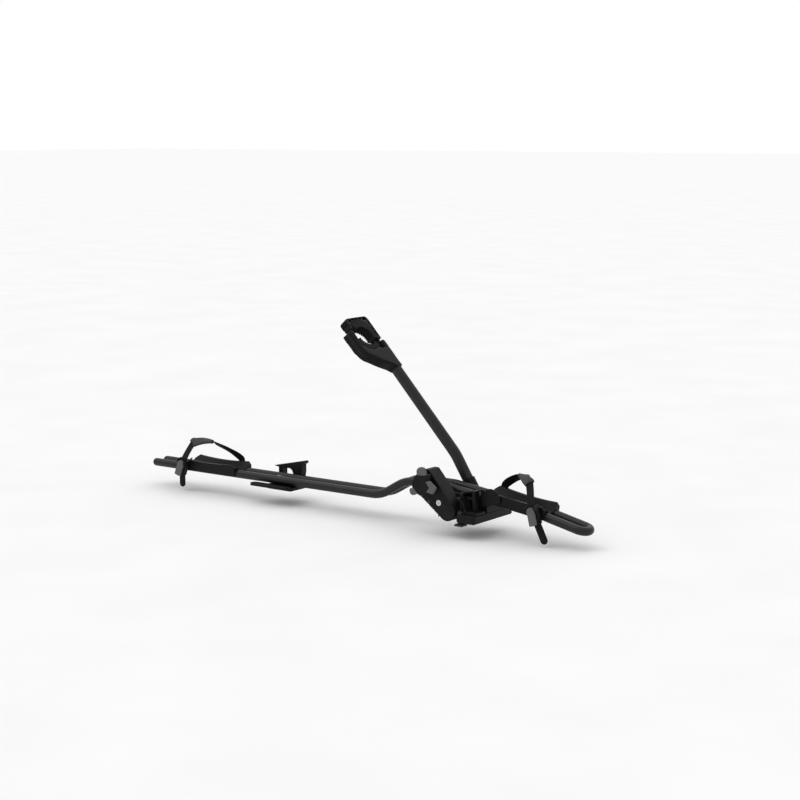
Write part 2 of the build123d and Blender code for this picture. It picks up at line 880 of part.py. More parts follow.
def t_bolt(x, y, top):
    """T head in the bar's slot, with its shank up through the foot."""
    low = -bolt_drop - bolt_head_t
    head = block(x - bolt_head_w / 2, x + bolt_head_w / 2, y - bolt_head_l / 2, y + bolt_head_l / 2,
                 low, -bolt_drop)
    return head + rod_z(x, y, bolt_r, low, top)


def front_t_bolts():
    top = base_top + bolt_stand
    return Compound(children=[t_bolt(0, near_bolt_y, top), t_bolt(0, far_bolt_y, top)])


def front_nuts():
    nuts = []
    for y in (near_bolt_y, far_bolt_y):
        nut = xy_prism(RegularPolygon(nut_r, 6), base_top + gap / 2, base_top + nut_t)
        nut = Pos(0, y, 0) * nut
        nuts.append(nut - rod_z(0, y, bolt_r + seat_gap, 0, base_top + 2 * nut_t))
    return Compound(children=nuts)


# Arm

claw_origin = Vector(claw_x, 0, claw_z)
pivot_origin = Vector(pivot_x, 0, pivot_z)
arm_end_vec = claw_origin - pivot_origin
claw_s = arm_end_vec.dot(arm_dir)
claw_b = arm_end_vec.dot(arm_up)


def arm_path(start, end):
    """Centre line of the arm tube in the arm's frame: steep from the pivot, then along the arm."""
    knee = Vector(arm_bend_s, -arm_y, claw_b)
    foot = Vector(0, -arm_y, 0)
    lower = (knee - foot).normalized()
    return FilletPolyline(foot + lower * start, knee, Vector(end, -arm_y, claw_b), radius=arm_bend_r)


def arm_sweep(deep, thick, start, end):
    path = arm_path(start, end)
    plane = Plane(origin=path @ 0, x_dir=(0, 1, 0), z_dir=path % 0)
    section = plane * Rot(0, 0, 90) * SlotOverall(deep, thick)
    return sweep(section, path=path)


palm_foot_s = claw_s + palm_foot_a
arm_end_s = palm_foot_s + palm_sleeve


def arm_tube():
    outer = arm_sweep(arm_deep, arm_thick, arm_start, arm_end_s)
    inner = arm_sweep(arm_deep - 2 * arm_wall, arm_thick - 2 * arm_wall, arm_start - overrun,
                      arm_end_s + overrun)
    return placed(arm_frame, outer - inner)


def arm_knuckle():
    """Hub on the barrel's far end, with a socket for the arm tube."""
    near = -arm_y + knuckle_half
    far = -arm_y - knuckle_half - socket_wall
    hub = rod_y(0, 0, knuckle_r, far, near)
    hub = chamfer(hub.edges().group_by(Axis.Y)[0], length=socket_wall / 2)
    path = arm_path(0, claw_s / 2)
    plane = Plane(origin=path @ 0, x_dir=(0, 1, 0), z_dir=path % 0)
    width = arm_deep + 2 * socket_wall
    outline = SlotOverall(width, arm_thick + 2 * socket_wall)
    sleeve = extrude(plane * Rot(0, 0, 90) * outline, amount=socket_len)
    body = hub + sleeve
    body -= block(-knuckle_r, arm_bend_s, near, 0, -arm_deep * 2, arm_deep * 2)
    start = arm_start - seat_gap
    section = SlotOverall(arm_deep + 2 * seat_gap, arm_thick + 2 * seat_gap)
    hollow = extrude(plane.offset(start) * Rot(0, 0, 90) * section, amount=socket_len)
    body -= hollow
    body -= rod_y(0, 0, wheel_r + gap, -arm_y - wheel_len / 2 - gap, near + overrun)
    body -= Pos(0, drive_q + arm_y, 0) * extrude(plane * Circle(flex_r + gap), amount=socket_len)
    return placed(arm_frame, body)


def cross_barrel():
    """Hollow axle of the arm, from the housing on the near side to the knuckle on the far side."""
    y0 = house_far
    y1 = arm_y - knuckle_half
    return pivot_rod(barrel_r, y0, y1) - pivot_rod(barrel_bore, y0 - overrun, y1 + overrun)


def flexible_shaft():
    """Flexible steel shaft inside the arm, from the bevel wheel to the drive screw."""
    path = arm_path(wheel_r + gap, claw_s + palm_foot_a + drive_screw_rear - gap)
    aside = Pos(0, drive_q + arm_y, 0)
    plane = Plane(origin=path @ 0, x_dir=(0, 1, 0), z_dir=path % 0)
    return placed(arm_frame, aside * sweep(plane * Circle(flex_r), path=path))


# Drive housing

def house_face():
    """Side outline of the housing in the arm's frame, as X along the arm and Y across it."""
    start_low = polar(house_r, house_low_angle)
    end_high = polar(house_r, house_top_angle)
    mid = polar(house_r, house_back_angle)
    front = (knob_s - house_r, house_end_r - house_edge_r * 2)
    crest_s, crest_b = polar(house_end_r, house_crest_angle)
    mid_s, mid_b = polar(house_end_r, house_crest_angle / 2)
    crest = (knob_s + crest_s, crest_b)
    end = (knob_s + house_end_r, 0)
    top_mid = (knob_s + mid_s, mid_b)
    lines = ThreePointArc(end_high, mid, start_low)
    lines += Line(start_low, (house_corner_s, house_corner_b))
    lines += Line((house_corner_s, house_corner_b), (house_knee_s, house_knee_b))
    lines += Line((house_knee_s, house_knee_b), end)
    lines += ThreePointArc(end, top_mid, crest)
    lines += Line(crest, front)
    lines += Line(front, end_high)
    return make_face(lines)


def house_solid(y0, y1):
    """Housing outline between two Y values of the part."""
    base = Plane(origin=Vector(pivot_x, y1, pivot_z), x_dir=arm_dir, z_dir=(0, -1, 0))
    return extrude(base * Rot(180, 0, 0) * house_face(), amount=y1 - y0, dir=(0, -1, 0))


def house_cavity(y0, y1):
    """Room for the belt and pulleys."""
    room = rod_y(0, 0, cavity_r, -y1, -y0) + rod_y(knob_s, 0, cavity_r, -y1, -y0)
    room += block(0, knob_s, -y1, -y0, -cavity_r, cavity_r)
    return placed(arm_frame, room)


def house_rod(s, b, radius, y0, y1):
    """Cylinder along Y at a place given in the arm's frame."""
    return placed(arm_frame, rod_y(s, b, radius, -y1, -y0))


screw_places = ((house_screw_s, house_screw_b), (house_screw_end_s, house_screw_end_b))


def housing_shell():
    """Inner half, next to the rail."""
    body = house_solid(house_split, house_far)
    body -= house_cavity(house_split - overrun, house_far - house_wall)
    body -= house_rod(0, 0, shaft_r + gap, house_far - house_wall - overrun, house_far + overrun)
    body -= house_rod(knob_s, 0, knob_shaft_r + running, house_far - house_wall - overrun,
                      house_far - house_wall / 2)
    for s, b in screw_places:
        body -= house_rod(s, b, screw_r + seat_gap, house_split - overrun, house_far - house_wall)
    return body


def housing_cover():
    """Outer half, with the knob's and the lock's bores."""
    body = house_solid(house_near, house_split)
    rim = body.edges().filter_by(GeomType.LINE).filter_by(lambda e: abs(e.center().Y - house_near) < gap)
    body = chamfer(rim, length=house_edge_r / 2)
    body -= house_cavity(house_near + house_wall, house_split + overrun)
    lock_end = house_near + lock_len + house_wall / 2
    body += house_rod(lock_s, lock_b, lock_r + house_wall, house_near + house_wall / 2, lock_end)
    body -= house_rod(lock_s, lock_b, lock_r + running, house_near - overrun, house_near + lock_len)
    body -= house_rod(knob_s, 0, knob_shaft_r + running, house_near - overrun, house_split)
    for s, b in screw_places:
        body -= house_rod(s, b, screw_r + seat_gap, house_near - overrun, house_split + overrun)
        body -= house_rod(s, b, screw_head_r + seat_gap, house_near - overrun, house_near + screw_head_h)
    for share in notch_shares:
        s = house_corner_s * share
        b = -house_r + (house_corner_b + house_r) * share
        cut = block(s - notch_w / 2, s + notch_w / 2, -house_near - notch_w * 2, -house_near + overrun,
                    b - overrun, b + notch_d)
        body -= placed(arm_frame, cut)
    return body


def housing_screws():
    screws = []
    for s, b in screw_places:
        shank = house_rod(s, b, screw_r, house_near + screw_head_h, house_far - house_wall - gap)
        screws.append(shank + house_rod(s, b, screw_head_r, house_near, house_near + screw_head_h))
    return Compound(children=screws)


def knob_lobe(index, radius):
    angle = knob_first_angle + index * 360 / knob_lobes
    x, z = polar(knob_lobe_at, angle)
    return Pos(x, z) * Circle(radius)


knob_centre = pivot_origin + arm_dir * knob_s


def knob_prism(face, y0, y1):
    """Face drawn in X and Z round the knob's axis, extruded along Y."""
    base = Plane(origin=(knob_centre.X, y1, knob_centre.Z), x_dir=(1, 0, 0), z_dir=(0, -1, 0))
    return extrude(base * face, amount=y1 - y0)


def knob_core():
    face = Circle(knob_centre_r)
    for index in range(knob_lobes):
        face += knob_lobe(index, knob_lobe_r) & Circle(knob_tip_from)
    body = knob_prism(face, knob_near, knob_far)
    body += knob_prism(Circle(knob_cap_r), knob_near - knob_cap_t, knob_near)
    body -= knob_prism(Circle(knob_shaft_r + seat_gap), knob_near + knob_cap_t, knob_far + overrun)
    return body


def knob_tips():
    """Grey ends of the three lobes."""
    tips = []
    for index in range(knob_lobes):
        face = knob_lobe(index, knob_lobe_r) - Circle(knob_tip_from + seat_gap)
        tips.append(knob_prism(face, knob_near - knob_cap_t / 2, knob_far + knob_cap_t / 2))
    return Compound(children=tips)


def knob_shaft():
    return house_rod(knob_s, 0, knob_shaft_r, knob_near + knob_cap_t + gap, house_far - house_wall - gap)


def pulley(s, bore):
    ring = house_rod(s, 0, pulley_r, pulley_near, pulley_near + pulley_w)
    return ring - house_rod(s, 0, bore + seat_gap, pulley_near - overrun, pulley_near + pulley_w + overrun)


def drive_belt():
    """Endless belt round both pulleys."""
    inner = pulley_r + gap
    outer = inner + belt_t
    y0 = -pulley_near - pulley_w + gap
    y1 = -pulley_near - gap
    loop = rod_y(0, 0, outer, y0, y1) + rod_y(knob_s, 0, outer, y0, y1)
    loop += block(0, knob_s, y0, y1, -outer, outer)
    hole = rod_y(0, 0, inner, y0 - overrun, y1 + overrun)
    hole += rod_y(knob_s, 0, inner, y0 - overrun, y1 + overrun)
    hole += block(0, knob_s, y0 - overrun, y1 + overrun, -inner, inner)
    return placed(arm_frame, loop - hole)


clutch_near = pulley_near + pulley_w + 2 * gap


def torque_limiter():
    """Ratchet disc and the stack of flat spring rings that presses it on the pulley."""
    y1 = clutch_near + clutch_t
    disc = house_rod(knob_s, 0, clutch_r, clutch_near, y1)
    rings = [disc - house_rod(knob_s, 0, knob_shaft_r + seat_gap, clutch_near - overrun, y1 + overrun)]
    for index in range(spring_turns):
        y0 = clutch_near + clutch_t + gap + index * spring_pitch
        ring = house_rod(knob_s, 0, spring_r, y0, y0 + spring_t)
        rings.append(ring - house_rod(knob_s, 0, knob_shaft_r + gap, y0 - overrun, y0 + overrun))
    return Compound(children=rings)


def cross_shaft():
    """Shaft through the barrel, with a bevel wheel on its far end."""
    far = arm_y + wheel_len / 2
    shaft = pivot_rod(shaft_r, pulley_near - gap * 2, far)
    return shaft + pivot_rod(wheel_r, far - wheel_len, far)


def cross_shaft_bushes():
    rings = []
    far_end = arm_y - knuckle_half
    for y0, y1 in ((house_far, house_far + bush_len), (far_end - bush_len, far_end)):
        ring = pivot_rod(barrel_bore - seat_gap, y0, y1)
        rings.append(ring - pivot_rod(shaft_r + running, y0 - overrun, y1 + overrun))
    return Compound(children=rings)


def lock_barrel():
    body = house_rod(lock_s, lock_b, lock_r, house_near - lock_proud, house_near + lock_len - gap)
    slot = block(lock_s - lock_slot_l / 2, lock_s + lock_slot_l / 2, -house_near + lock_proud - lock_slot_d,
                 -house_near + lock_proud + overrun, lock_b - lock_slot_w / 2, lock_b + lock_slot_w / 2)
    return body - placed(arm_frame, slot)


# Claw, drawn with X along the arm, Y towards the near side and Z across the arm

drive_q = hinge_q + jaw_throw


def hinge_rod(radius, z0, z1):
    return rod_z(hinge_a, hinge_q, radius, z0, z1)


def claw_palm():
    """Palm with its near finger, hinge lugs and the sleeve that takes the arm tube."""
    stop = polar(claw_r, palm_stop_angle)
    lines = Line((finger_tip_a, claw_r), (finger_tip_a, finger_outer))
    lines += Line((finger_tip_a, finger_outer), (palm_knee_a, finger_outer))
    lines += Spline((palm_knee_a, finger_outer), (palm_low_a, palm_low_q), (palm_mid_a, palm_mid_q),
                    (palm_foot_a, palm_foot_q), tangents=((-1, 0), (-1, -1)))
    lines += Line((palm_foot_a, palm_foot_q), (palm_foot_a, palm_far_q))
    lines += Line((palm_foot_a, palm_far_q), (palm_back_a, palm_far_q))
    lines += Line((palm_back_a, palm_far_q), stop)
    lines += ThreePointArc(stop, (-claw_r, 0), (0, claw_r))
    lines += Line((0, claw_r), (finger_tip_a, claw_r))
    body = xy_prism(make_face(lines), claw_low, claw_high)
    lug = hinge_rod(hinge_lug_reach, claw_low, claw_high)
    lug &= block(palm_back_a - hinge_lug_r, hinge_a + hinge_lug_reach, palm_far_q, hinge_q + hinge_lug_near,
                 claw_low, claw_high)
    body -= hinge_rod(jaw_swing_r, claw_low - overrun, claw_high + overrun) & jaw_side()
    body += lug
    edge_end = hinge_a + hinge_lug_reach + overrun
    for b, away in ((claw_low, 1), (claw_high, -1)):
        b_in = b + away * palm_far_r
        b_out = b - away * overrun
        edge = block(palm_foot_a - overrun, edge_end, palm_far_q - overrun, palm_far_q + palm_far_r,
                     min(b_in, b_out), max(b_in, b_out))
        body -= edge - rod_x(palm_far_q + palm_far_r, b_in, palm_far_r, palm_foot_a - overrun, edge_end)
    flat = Plane(origin=(palm_foot_a, -arm_y, 0), x_dir=(0, 1, 0), z_dir=(1, 0, 0))
    collar = flat * Rot(0, 0, 90) * SlotOverall(arm_deep + 2 * palm_collar_t, arm_thick + 2 * palm_collar_t)
    body += extrude(collar, amount=palm_collar_len)
    body -= hinge_rod(hinge_slot_r, -hinge_slot_half, hinge_slot_half)
    body -= hinge_rod(hinge_pin_r + seat_gap, claw_low - overrun, claw_high + overrun)
    slope = [
        (palm_knee_a, claw_high),
        (finger_tip_a + overrun, finger_cut_b),
        (finger_tip_a + overrun, claw_high + overrun),
        (palm_knee_a, claw_high + overrun),
    ]
    body -= xz_prism(slope, 0, finger_outer + overrun)
    body += rod_x(finger_outer - roll_r / 2, claw_low + roll_r / 2, roll_r, palm_knee_a, finger_tip_a)
    seat = SlotOverall(arm_deep + 2 * seat_gap, arm_thick + 2 * seat_gap)
    seat = flat.offset(-overrun) * Rot(0, 0, 90) * seat
    body -= extrude(seat, amount=palm_sleeve + seat_gap + overrun)
    body -= rod_x(drive_q, 0, drive_screw_r + running, palm_foot_a, hinge_a)
    channel_rear = hinge_a - fork_rear - fork_slide_rear
    body -= block(channel_rear, hinge_a, drive_q - fork_half - gap, drive_q + fork_half + gap,
                  -fork_half_b - gap, fork_half_b + gap)
    body -= rod_z(0, 0, claw_r, claw_low - overrun, claw_high + overrun)
    return placed(claw_frame, body)


def jaw_side():
    """Half space beside the hinge where the jaw's root swings."""
    size = jaw_swing_r + overrun
    return block(hinge_a - hinge_lug_r / 2, hinge_a + size, hinge_q - size, hinge_q + size, -size, size)


def claw_jaw():
    """Hooked jaw that swings over the bicycle's tube, with its drive tail behind the hinge."""
    outline = [
        (jaw_root_a, jaw_far_q),
        (jaw_top_a, jaw_far_q),
        (jaw_top_a, jaw_near_q),
        (jaw_tip_a, jaw_near_q),
        (jaw_tip_a, 0),
        (jaw_root_a, 0),
    ]
    face = make_face(Polyline(*outline, close=True))
    face = fillet(face.vertices().group_by(Axis.X)[-1], radius=jaw_corner_r)
    face -= Pos(jaw_centre_a, 0) * Circle(claw_r)
    body = xy_prism(face, jaw_low, jaw_high)
    body = fillet(body.edges().filter_by(Axis.Z), radius=jaw_edge_r)
    root_a = jaw_root_a + jaw_hub_r
    web = Polyline((hinge_a, hinge_q - jaw_hub_r), (root_a, jaw_far_q + jaw_edge_r),
                   (root_a, jaw_far_q + 2 * jaw_hub_r),
                   (hinge_a, hinge_q + jaw_hub_r / 2), close=True)
    body += xy_prism(make_face(web), -jaw_hub_half, jaw_hub_half)
    body += hinge_rod(jaw_hub_r, -jaw_hub_half, jaw_hub_half)
    body += block(hinge_a - jaw_tail_half, hinge_a + jaw_tail_half, hinge_q, hinge_q + jaw_tail,
                  -jaw_tail_half_b, jaw_tail_half_b)
    slot_half = fork_pin_r + gap
    slot_end = hinge_q + jaw_tail - fork_pin_r
    body -= block(hinge_a - slot_half, hinge_a + slot_half, drive_q - slot_half, slot_end,
                  -2 * jaw_tail_half_b, 2 * jaw_tail_half_b)
    body -= hinge_rod(hinge_pin_r + running, claw_low - overrun, claw_high + overrun)
    return placed(claw_frame, body)


def jaw_pin():
    return placed(claw_frame, hinge_rod(hinge_pin_r, claw_low, claw_high))


def pad_face(start, end):
    """Rubber lining with grooves across its gripping face."""
    face = ring_sector(grip_r, claw_r - gap / 2, start, end)
    count = int((end - start) // pad_groove_step)
    for index in range(1, count):
        angle = start + (end - start) * index / count
        x, y = polar(grip_r, angle)
        face -= Pos(x, y) * Rot(0, 0, angle) * Rectangle(2 * pad_groove, pad_groove_w)
    return face


def palm_pad():
    face = pad_face(pad_from_angle, pad_to_angle)
    return placed(claw_frame, xy_prism(face, claw_low + gap, claw_high - gap))


def jaw_pad():
    """Lining of the jaw, thicker at its middle because the jaw's arc is set further out."""
    deep = ring_sector(grip_r + 2 * pad_groove, claw_r + jaw_pad_reach, jaw_pad_from, jaw_pad_to)
    face = (pad_face(jaw_pad_from, jaw_pad_to) + deep) & (Pos(jaw_centre_a, 0) * Circle(claw_r - gap / 2))
    return placed(claw_frame, xy_prism(face, jaw_low + gap, jaw_high - gap))


def drive_fork():
    """Nut on the drive screw, forked round the jaw's tail with a pin through the tail's slot."""
    body = block(hinge_a - fork_rear, hinge_a + fork_front, drive_q - fork_half, drive_q + fork_half,
                 -fork_half_b, fork_half_b)
    body -= block(hinge_a - fork_neck, hinge_a + fork_front + overrun, drive_q - overrun, drive_q + overrun,
                  -jaw_tail_half_b - gap, jaw_tail_half_b + gap)
    body += rod_z(hinge_a, drive_q, fork_pin_r, -fork_half_b, fork_half_b)
    body -= rod_x(drive_q, 0, drive_screw_r + running, hinge_a - fork_rear - overrun,
                  hinge_a - fork_neck + overrun)
    return placed(claw_frame, body)


def drive_screw():
    """Screw that the flexible shaft turns, from inside the arm tube to the fork."""
    end = hinge_a - drive_screw_reach
    return placed(claw_frame, rod_x(drive_q, 0, drive_screw_r, palm_foot_a + drive_screw_rear, end))


# Rear foot

def rear_foot_plate():
    """Low plate on the bar with a guide block between the tubes and two lugs for the clamp lever."""
    plate = block(rear_bar_x - rear_plate_rear, rear_bar_x + rear_plate_front, -rear_plate_half,
                  rear_lug_y + rear_lug_half, rear_pad_t, rear_plate_top)
    plate = fillet(plate.edges().filter_by(Axis.Z), radius=base_corner_r)
    tongue_half = rear_tongue_w / 2
    tongue = block(rear_bar_x - rear_tongue_rear + tongue_half, rear_bar_x + rear_plate_front - tongue_half,
                   rear_tongue_y - tongue_half, rear_tongue_y + tongue_half, rear_tongue_low, rear_tongue_top)
    for x in (rear_bar_x - rear_tongue_rear + tongue_half, rear_bar_x + rear_plate_front - tongue_half):
        tongue += rod_z(x, rear_tongue_y, tongue_half, rear_tongue_low, rear_tongue_top)
    body = plate + tongue
    body += block(foot_screw_x - foot_clamp_half, rear_bar_x + rear_block_half_l, -rear_block_half_w,
                  rear_block_half_w, rear_pad_t, web_low - gap)
    body -= rod_z(foot_screw_x, 0, screw_r + seat_gap, -overrun, web_high)
    body -= rod_z(rear_bar_x, rear_lug_y, bolt_r + gap, -overrun, rear_plate_top + overrun)
    return body


def rear_foot_pad():
    inset = base_lip
    mat = block(rear_bar_x - rear_plate_front + inset, rear_bar_x + rear_plate_front - inset,
                -rear_plate_half + inset, rear_plate_half, 0, rear_pad_t)
    return mat


def rear_foot_clamp():
    """Plate on the web's top face that ties the foot to the rail."""
    low = web_high + gap
    plate = block(foot_screw_x - foot_clamp_half, foot_screw_x + foot_clamp_half, -groove_half, groove_half,
                  low, low + foot_clamp_t)
    return plate - rod_z(foot_screw_x, 0, screw_r + seat_gap, low - overrun, low + overrun)


def rear_foot_screw():
    return web_screw(foot_screw_x, rear_plate_top, web_high + gap + foot_clamp_t)


def rear_t_bolt():
    """T bolt with an eye that the lever's pin goes through."""
    low = -bolt_drop - bolt_head_t
    body = block(rear_bar_x - bolt_head_w / 2, rear_bar_x + bolt_head_w / 2, rear_lug_y - bolt_head_l / 2,
                 rear_lug_y + bolt_head_l / 2, low, -bolt_drop)
    body += rod_z(rear_bar_x, rear_lug_y, bolt_r, low, lever_pin_z)
    body += rod_y(rear_bar_x, lever_pin_z, 2 * lever_pin_r, rear_lug_y - clamp_eye_half,
                  rear_lug_y + clamp_eye_half)
    return body - rod_y(rear_bar_x, lever_pin_z, lever_pin_r + seat_gap, 0, 2 * rear_lug_y)


def rear_lever_pin():
    return rod_y(rear_bar_x, lever_pin_z, lever_pin_r, rear_lug_y - clamp_lever_half,
                 rear_lug_y + clamp_lever_half)


def rear_clamp_lever():
    """Long lever with an eccentric foot that presses on the plate when it is shut."""
    outline = [
        (rear_bar_x + clamp_tip_x, clamp_tip_z),
        (rear_bar_x + clamp_top_x, clamp_top_z),
        (rear_bar_x + clamp_lip_x, clamp_top_z - clamp_lip_h / 2),
        (rear_bar_x + clamp_front_x, clamp_top_z - clamp_lip_h),
        (rear_bar_x + clamp_front_x, clamp_front_low),
        (rear_bar_x + cam_r, lever_pin_z),
        (rear_bar_x - cam_r, lever_pin_z),
        (rear_bar_x + clamp_arch_x, clamp_front_low),
        (rear_bar_x + clamp_arch_x - clamp_skin, clamp_tip_z - clamp_skin / 4),
        (rear_bar_x + clamp_leg_x + clamp_leg_w, clamp_tip_z - clamp_skin / 2),
        (rear_bar_x + clamp_leg_x + clamp_leg_w, clamp_leg_z),
        (rear_bar_x + clamp_leg_x, clamp_leg_z),
        (rear_bar_x + clamp_leg_x, clamp_tip_z - clamp_skin / 4),
    ]
    y0 = rear_lug_y - clamp_lever_half
    y1 = rear_lug_y + clamp_lever_half
    body = xz_prism(outline, y0, y1)
    body += rod_y(rear_bar_x, lever_pin_z - cam_offset, cam_r, y0, y1)
    eye = clamp_eye_half + gap
    body -= block(rear_bar_x - cam_r - gap, rear_bar_x + clamp_front_x + overrun, rear_lug_y - eye,
                  rear_lug_y + eye, 0, lever_pin_z + 2 * lever_pin_r + gap)
    return body - rod_y(rear_bar_x, lever_pin_z, lever_pin_r + running, 0, 2 * rear_lug_y)


# Every node of the part

parts = {
    "rail_tube_near": rail_tube(-1),
    "rail_tube_far": rail_tube(1),
    "rail_web": rail_web(),
    "rail_rear_caps": rail_rear_caps(),
    "rail_nose": rail_nose(),
    "front_wheel_tray": front_wheel_tray(),
    "rear_wheel_tray": rear_wheel_tray(),
    "front_strap": placed(front_tray_frame, strap(front_strap_spec)),
    "rear_strap": placed(rear_tray_frame, strap(rear_strap_spec)),
    "front_rim_pad": placed(front_tray_frame, rim_pad(front_strap_spec)),
    "rear_rim_pad": placed(rear_tray_frame, rim_pad(rear_strap_spec)),
    "front_buckle_body": placed(front_tray_frame, buckle_body(front_strap_spec)),
    "rear_buckle_body": placed(rear_tray_frame, buckle_body(rear_strap_spec)),
    "front_buckle_lever": placed(front_tray_frame, buckle_lever(front_strap_spec)),
    "rear_buckle_lever": placed(rear_tray_frame, buckle_lever(rear_strap_spec)),
    "front_buckle_pin": placed(front_tray_frame, buckle_pin(front_strap_spec)),
    "rear_buckle_pin": placed(rear_tray_frame, buckle_pin(rear_strap_spec)),
    "front_strap_rivet": strap_rivet(front_strap_spec, front_tray_frame),
    "rear_strap_rivet": strap_rivet(rear_strap_spec, rear_tray_frame),
    "rear_tray_clamp": rear_tray_clamp(),
    "rear_tray_screw": rear_tray_screw(),
    "front_foot_base": front_foot_base(),
    "front_foot_pad": front_foot_pad(),
    "front_foot_tower": front_foot_tower(),
    "front_foot_cover": front_foot_cover(),
    "front_side_plate": front_side_plate(),
    "pivot_bushes": pivot_bushes(),
    "front_t_bolts": front_t_bolts(),
    "front_nuts": front_nuts(),
    "arm_tube": arm_tube(),
    "arm_knuckle": arm_knuckle(),
    "cross_barrel": cross_barrel(),
    "flexible_shaft": flexible_shaft(),
    "housing_shell": housing_shell(),
    "housing_cover": housing_cover(),
    "housing_screws": housing_screws(),
    "knob_core": knob_core(),
    "knob_tips": knob_tips(),
    "knob_shaft": knob_shaft(),
    "drive_pulley": pulley(knob_s, knob_shaft_r),
    "driven_pulley": pulley(0, shaft_r),
    "drive_belt": drive_belt(),
    "torque_limiter": torque_limiter(),
    "cross_shaft": cross_shaft(),
    "cross_shaft_bushes": cross_shaft_bushes(),
    "lock_barrel": lock_barrel(),
    "claw_palm": claw_palm(),
    "claw_jaw": claw_jaw(),
    "jaw_pin": jaw_pin(),
    "palm_pad": palm_pad(),
    "jaw_pad": jaw_pad(),
    "drive_fork": drive_fork(),
    "drive_screw": drive_screw(),
    "rear_foot_plate": rear_foot_plate(),
    "rear_foot_pad": rear_foot_pad(),
    "rear_foot_clamp": rear_foot_clamp(),
    "rear_foot_screw": rear_foot_screw(),
    "rear_t_bolt": rear_t_bolt(),
    "rear_lever_pin": rear_lever_pin(),
    "rear_clamp_lever": rear_clamp_lever(),
}

os.makedirs("parts", exist_ok=True)
for name, shape in parts.items():
    export_step(shape, "parts/" + name + ".step")
print("nodes", len(parts))
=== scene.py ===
"""Roof bike carrier, dressed for rendering: finishes, straps, soft mouldings, light and camera."""

import json
import math

import bmesh
import bpy
from mathutils import Matrix, Vector

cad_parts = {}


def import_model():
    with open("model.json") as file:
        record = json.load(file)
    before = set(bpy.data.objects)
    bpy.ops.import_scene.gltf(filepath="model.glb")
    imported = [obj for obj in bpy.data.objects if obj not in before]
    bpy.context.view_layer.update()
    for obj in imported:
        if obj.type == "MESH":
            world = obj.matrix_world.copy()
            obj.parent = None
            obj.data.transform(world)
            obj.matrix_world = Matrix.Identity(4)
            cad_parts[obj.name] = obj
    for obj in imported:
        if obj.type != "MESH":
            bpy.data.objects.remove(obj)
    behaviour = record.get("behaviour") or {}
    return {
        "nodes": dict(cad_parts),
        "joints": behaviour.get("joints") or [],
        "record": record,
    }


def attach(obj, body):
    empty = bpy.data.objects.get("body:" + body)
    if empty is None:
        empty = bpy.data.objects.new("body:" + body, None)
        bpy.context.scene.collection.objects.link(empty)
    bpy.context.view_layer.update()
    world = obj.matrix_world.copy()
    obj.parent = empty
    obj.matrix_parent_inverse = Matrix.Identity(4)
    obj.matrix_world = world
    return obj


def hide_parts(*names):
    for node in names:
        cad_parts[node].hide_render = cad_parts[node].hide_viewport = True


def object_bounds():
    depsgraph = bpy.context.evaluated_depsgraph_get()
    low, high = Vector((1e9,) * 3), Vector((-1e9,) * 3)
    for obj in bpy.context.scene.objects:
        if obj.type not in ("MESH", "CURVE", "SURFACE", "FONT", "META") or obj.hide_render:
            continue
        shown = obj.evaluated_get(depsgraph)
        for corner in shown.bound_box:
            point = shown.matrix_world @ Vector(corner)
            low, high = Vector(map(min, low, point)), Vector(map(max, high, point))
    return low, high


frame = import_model()
cad_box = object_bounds()
nodes = frame["nodes"]
joints = {joint["name"]: joint for joint in frame["joints"]}
mm = 0.001

# Camera as fitted to the photograph, in metres, degrees and millimetres
camera_place = (2.4125, -3.5820, 0.9356)
camera_turn = (81.458, 0.049, 36.511)
camera_lens = 81.54
camera_sensor = 36.0
camera_clip = (0.05, 200.0)


def basis(origin, x, y, z):
    """Matrix of a frame with these axes."""
    turn = Matrix((x, y, z)).transposed().to_4x4()
    return Matrix.Translation(origin) @ turn


# Drawing frames. Side: X and Z of the part. Arm: s along the arm and b across it. Claw: a along the
# arm and q to the near side. The first two and the knob's have their depth to the near side, and
# the claw's has it up from the arm.
arm_angle = math.radians(47.2)
arm_along = Vector((-math.cos(arm_angle), 0, math.sin(arm_angle)))
arm_up = Vector((math.sin(arm_angle), 0, math.cos(arm_angle)))
near_side = Vector((0, -1, 0))
pivot = Vector(joints["arm_fold"]["pos_m"])
knob_centre = Vector(joints["knob_turn"]["pos_m"])
claw_centre = Vector((-358 * mm, 0, 410 * mm))

side_frame = basis(Vector((0, 0, 0)), Vector((1, 0, 0)), Vector((0, 0, 1)), near_side)
knob_frame = Matrix.Translation((knob_centre.x, 0, knob_centre.z)) @ side_frame
arm_frame = basis(pivot, arm_along, arm_up, near_side)
claw_frame = basis(claw_centre, arm_along, near_side, arm_up)


# Materials

def principled(name):
    """New material, its node tree and its shader."""
    material = bpy.data.materials.new(name)
    material.use_nodes = True
    tree = material.node_tree
    return material, tree, tree.nodes["Principled BSDF"]


def object_place(tree):
    return tree.nodes.new("ShaderNodeTexCoord").outputs["Object"]


def noise(tree, place, scale, detail):
    """Cloudy value, whose scale is in waves a metre."""
    node = tree.nodes.new("ShaderNodeTexNoise")
    node.inputs["Scale"].default_value = scale
    node.inputs["Detail"].default_value = detail
    tree.links.new(place, node.inputs["Vector"])
    return node.outputs["Fac"]


def ramp(tree, value, low, high, start=0.3, end=0.7):
    """Colour ramp between two colours."""
    node = tree.nodes.new("ShaderNodeValToRGB")
    node.color_ramp.elements[0].position = start
    node.color_ramp.elements[1].position = end
    node.color_ramp.elements[0].color = (*low, 1)
    node.color_ramp.elements[1].color = (*high, 1)
    tree.links.new(value, node.inputs["Fac"])
    return node.outputs["Color"]


def span(tree, value, low, high):
    """Value from 0 to 1 spread over another range."""
    node = tree.nodes.new("ShaderNodeMapRange")
    node.inputs["To Min"].default_value = low
    node.inputs["To Max"].default_value = high
    tree.links.new(value, node.inputs["Value"])
    return node.outputs["Result"]


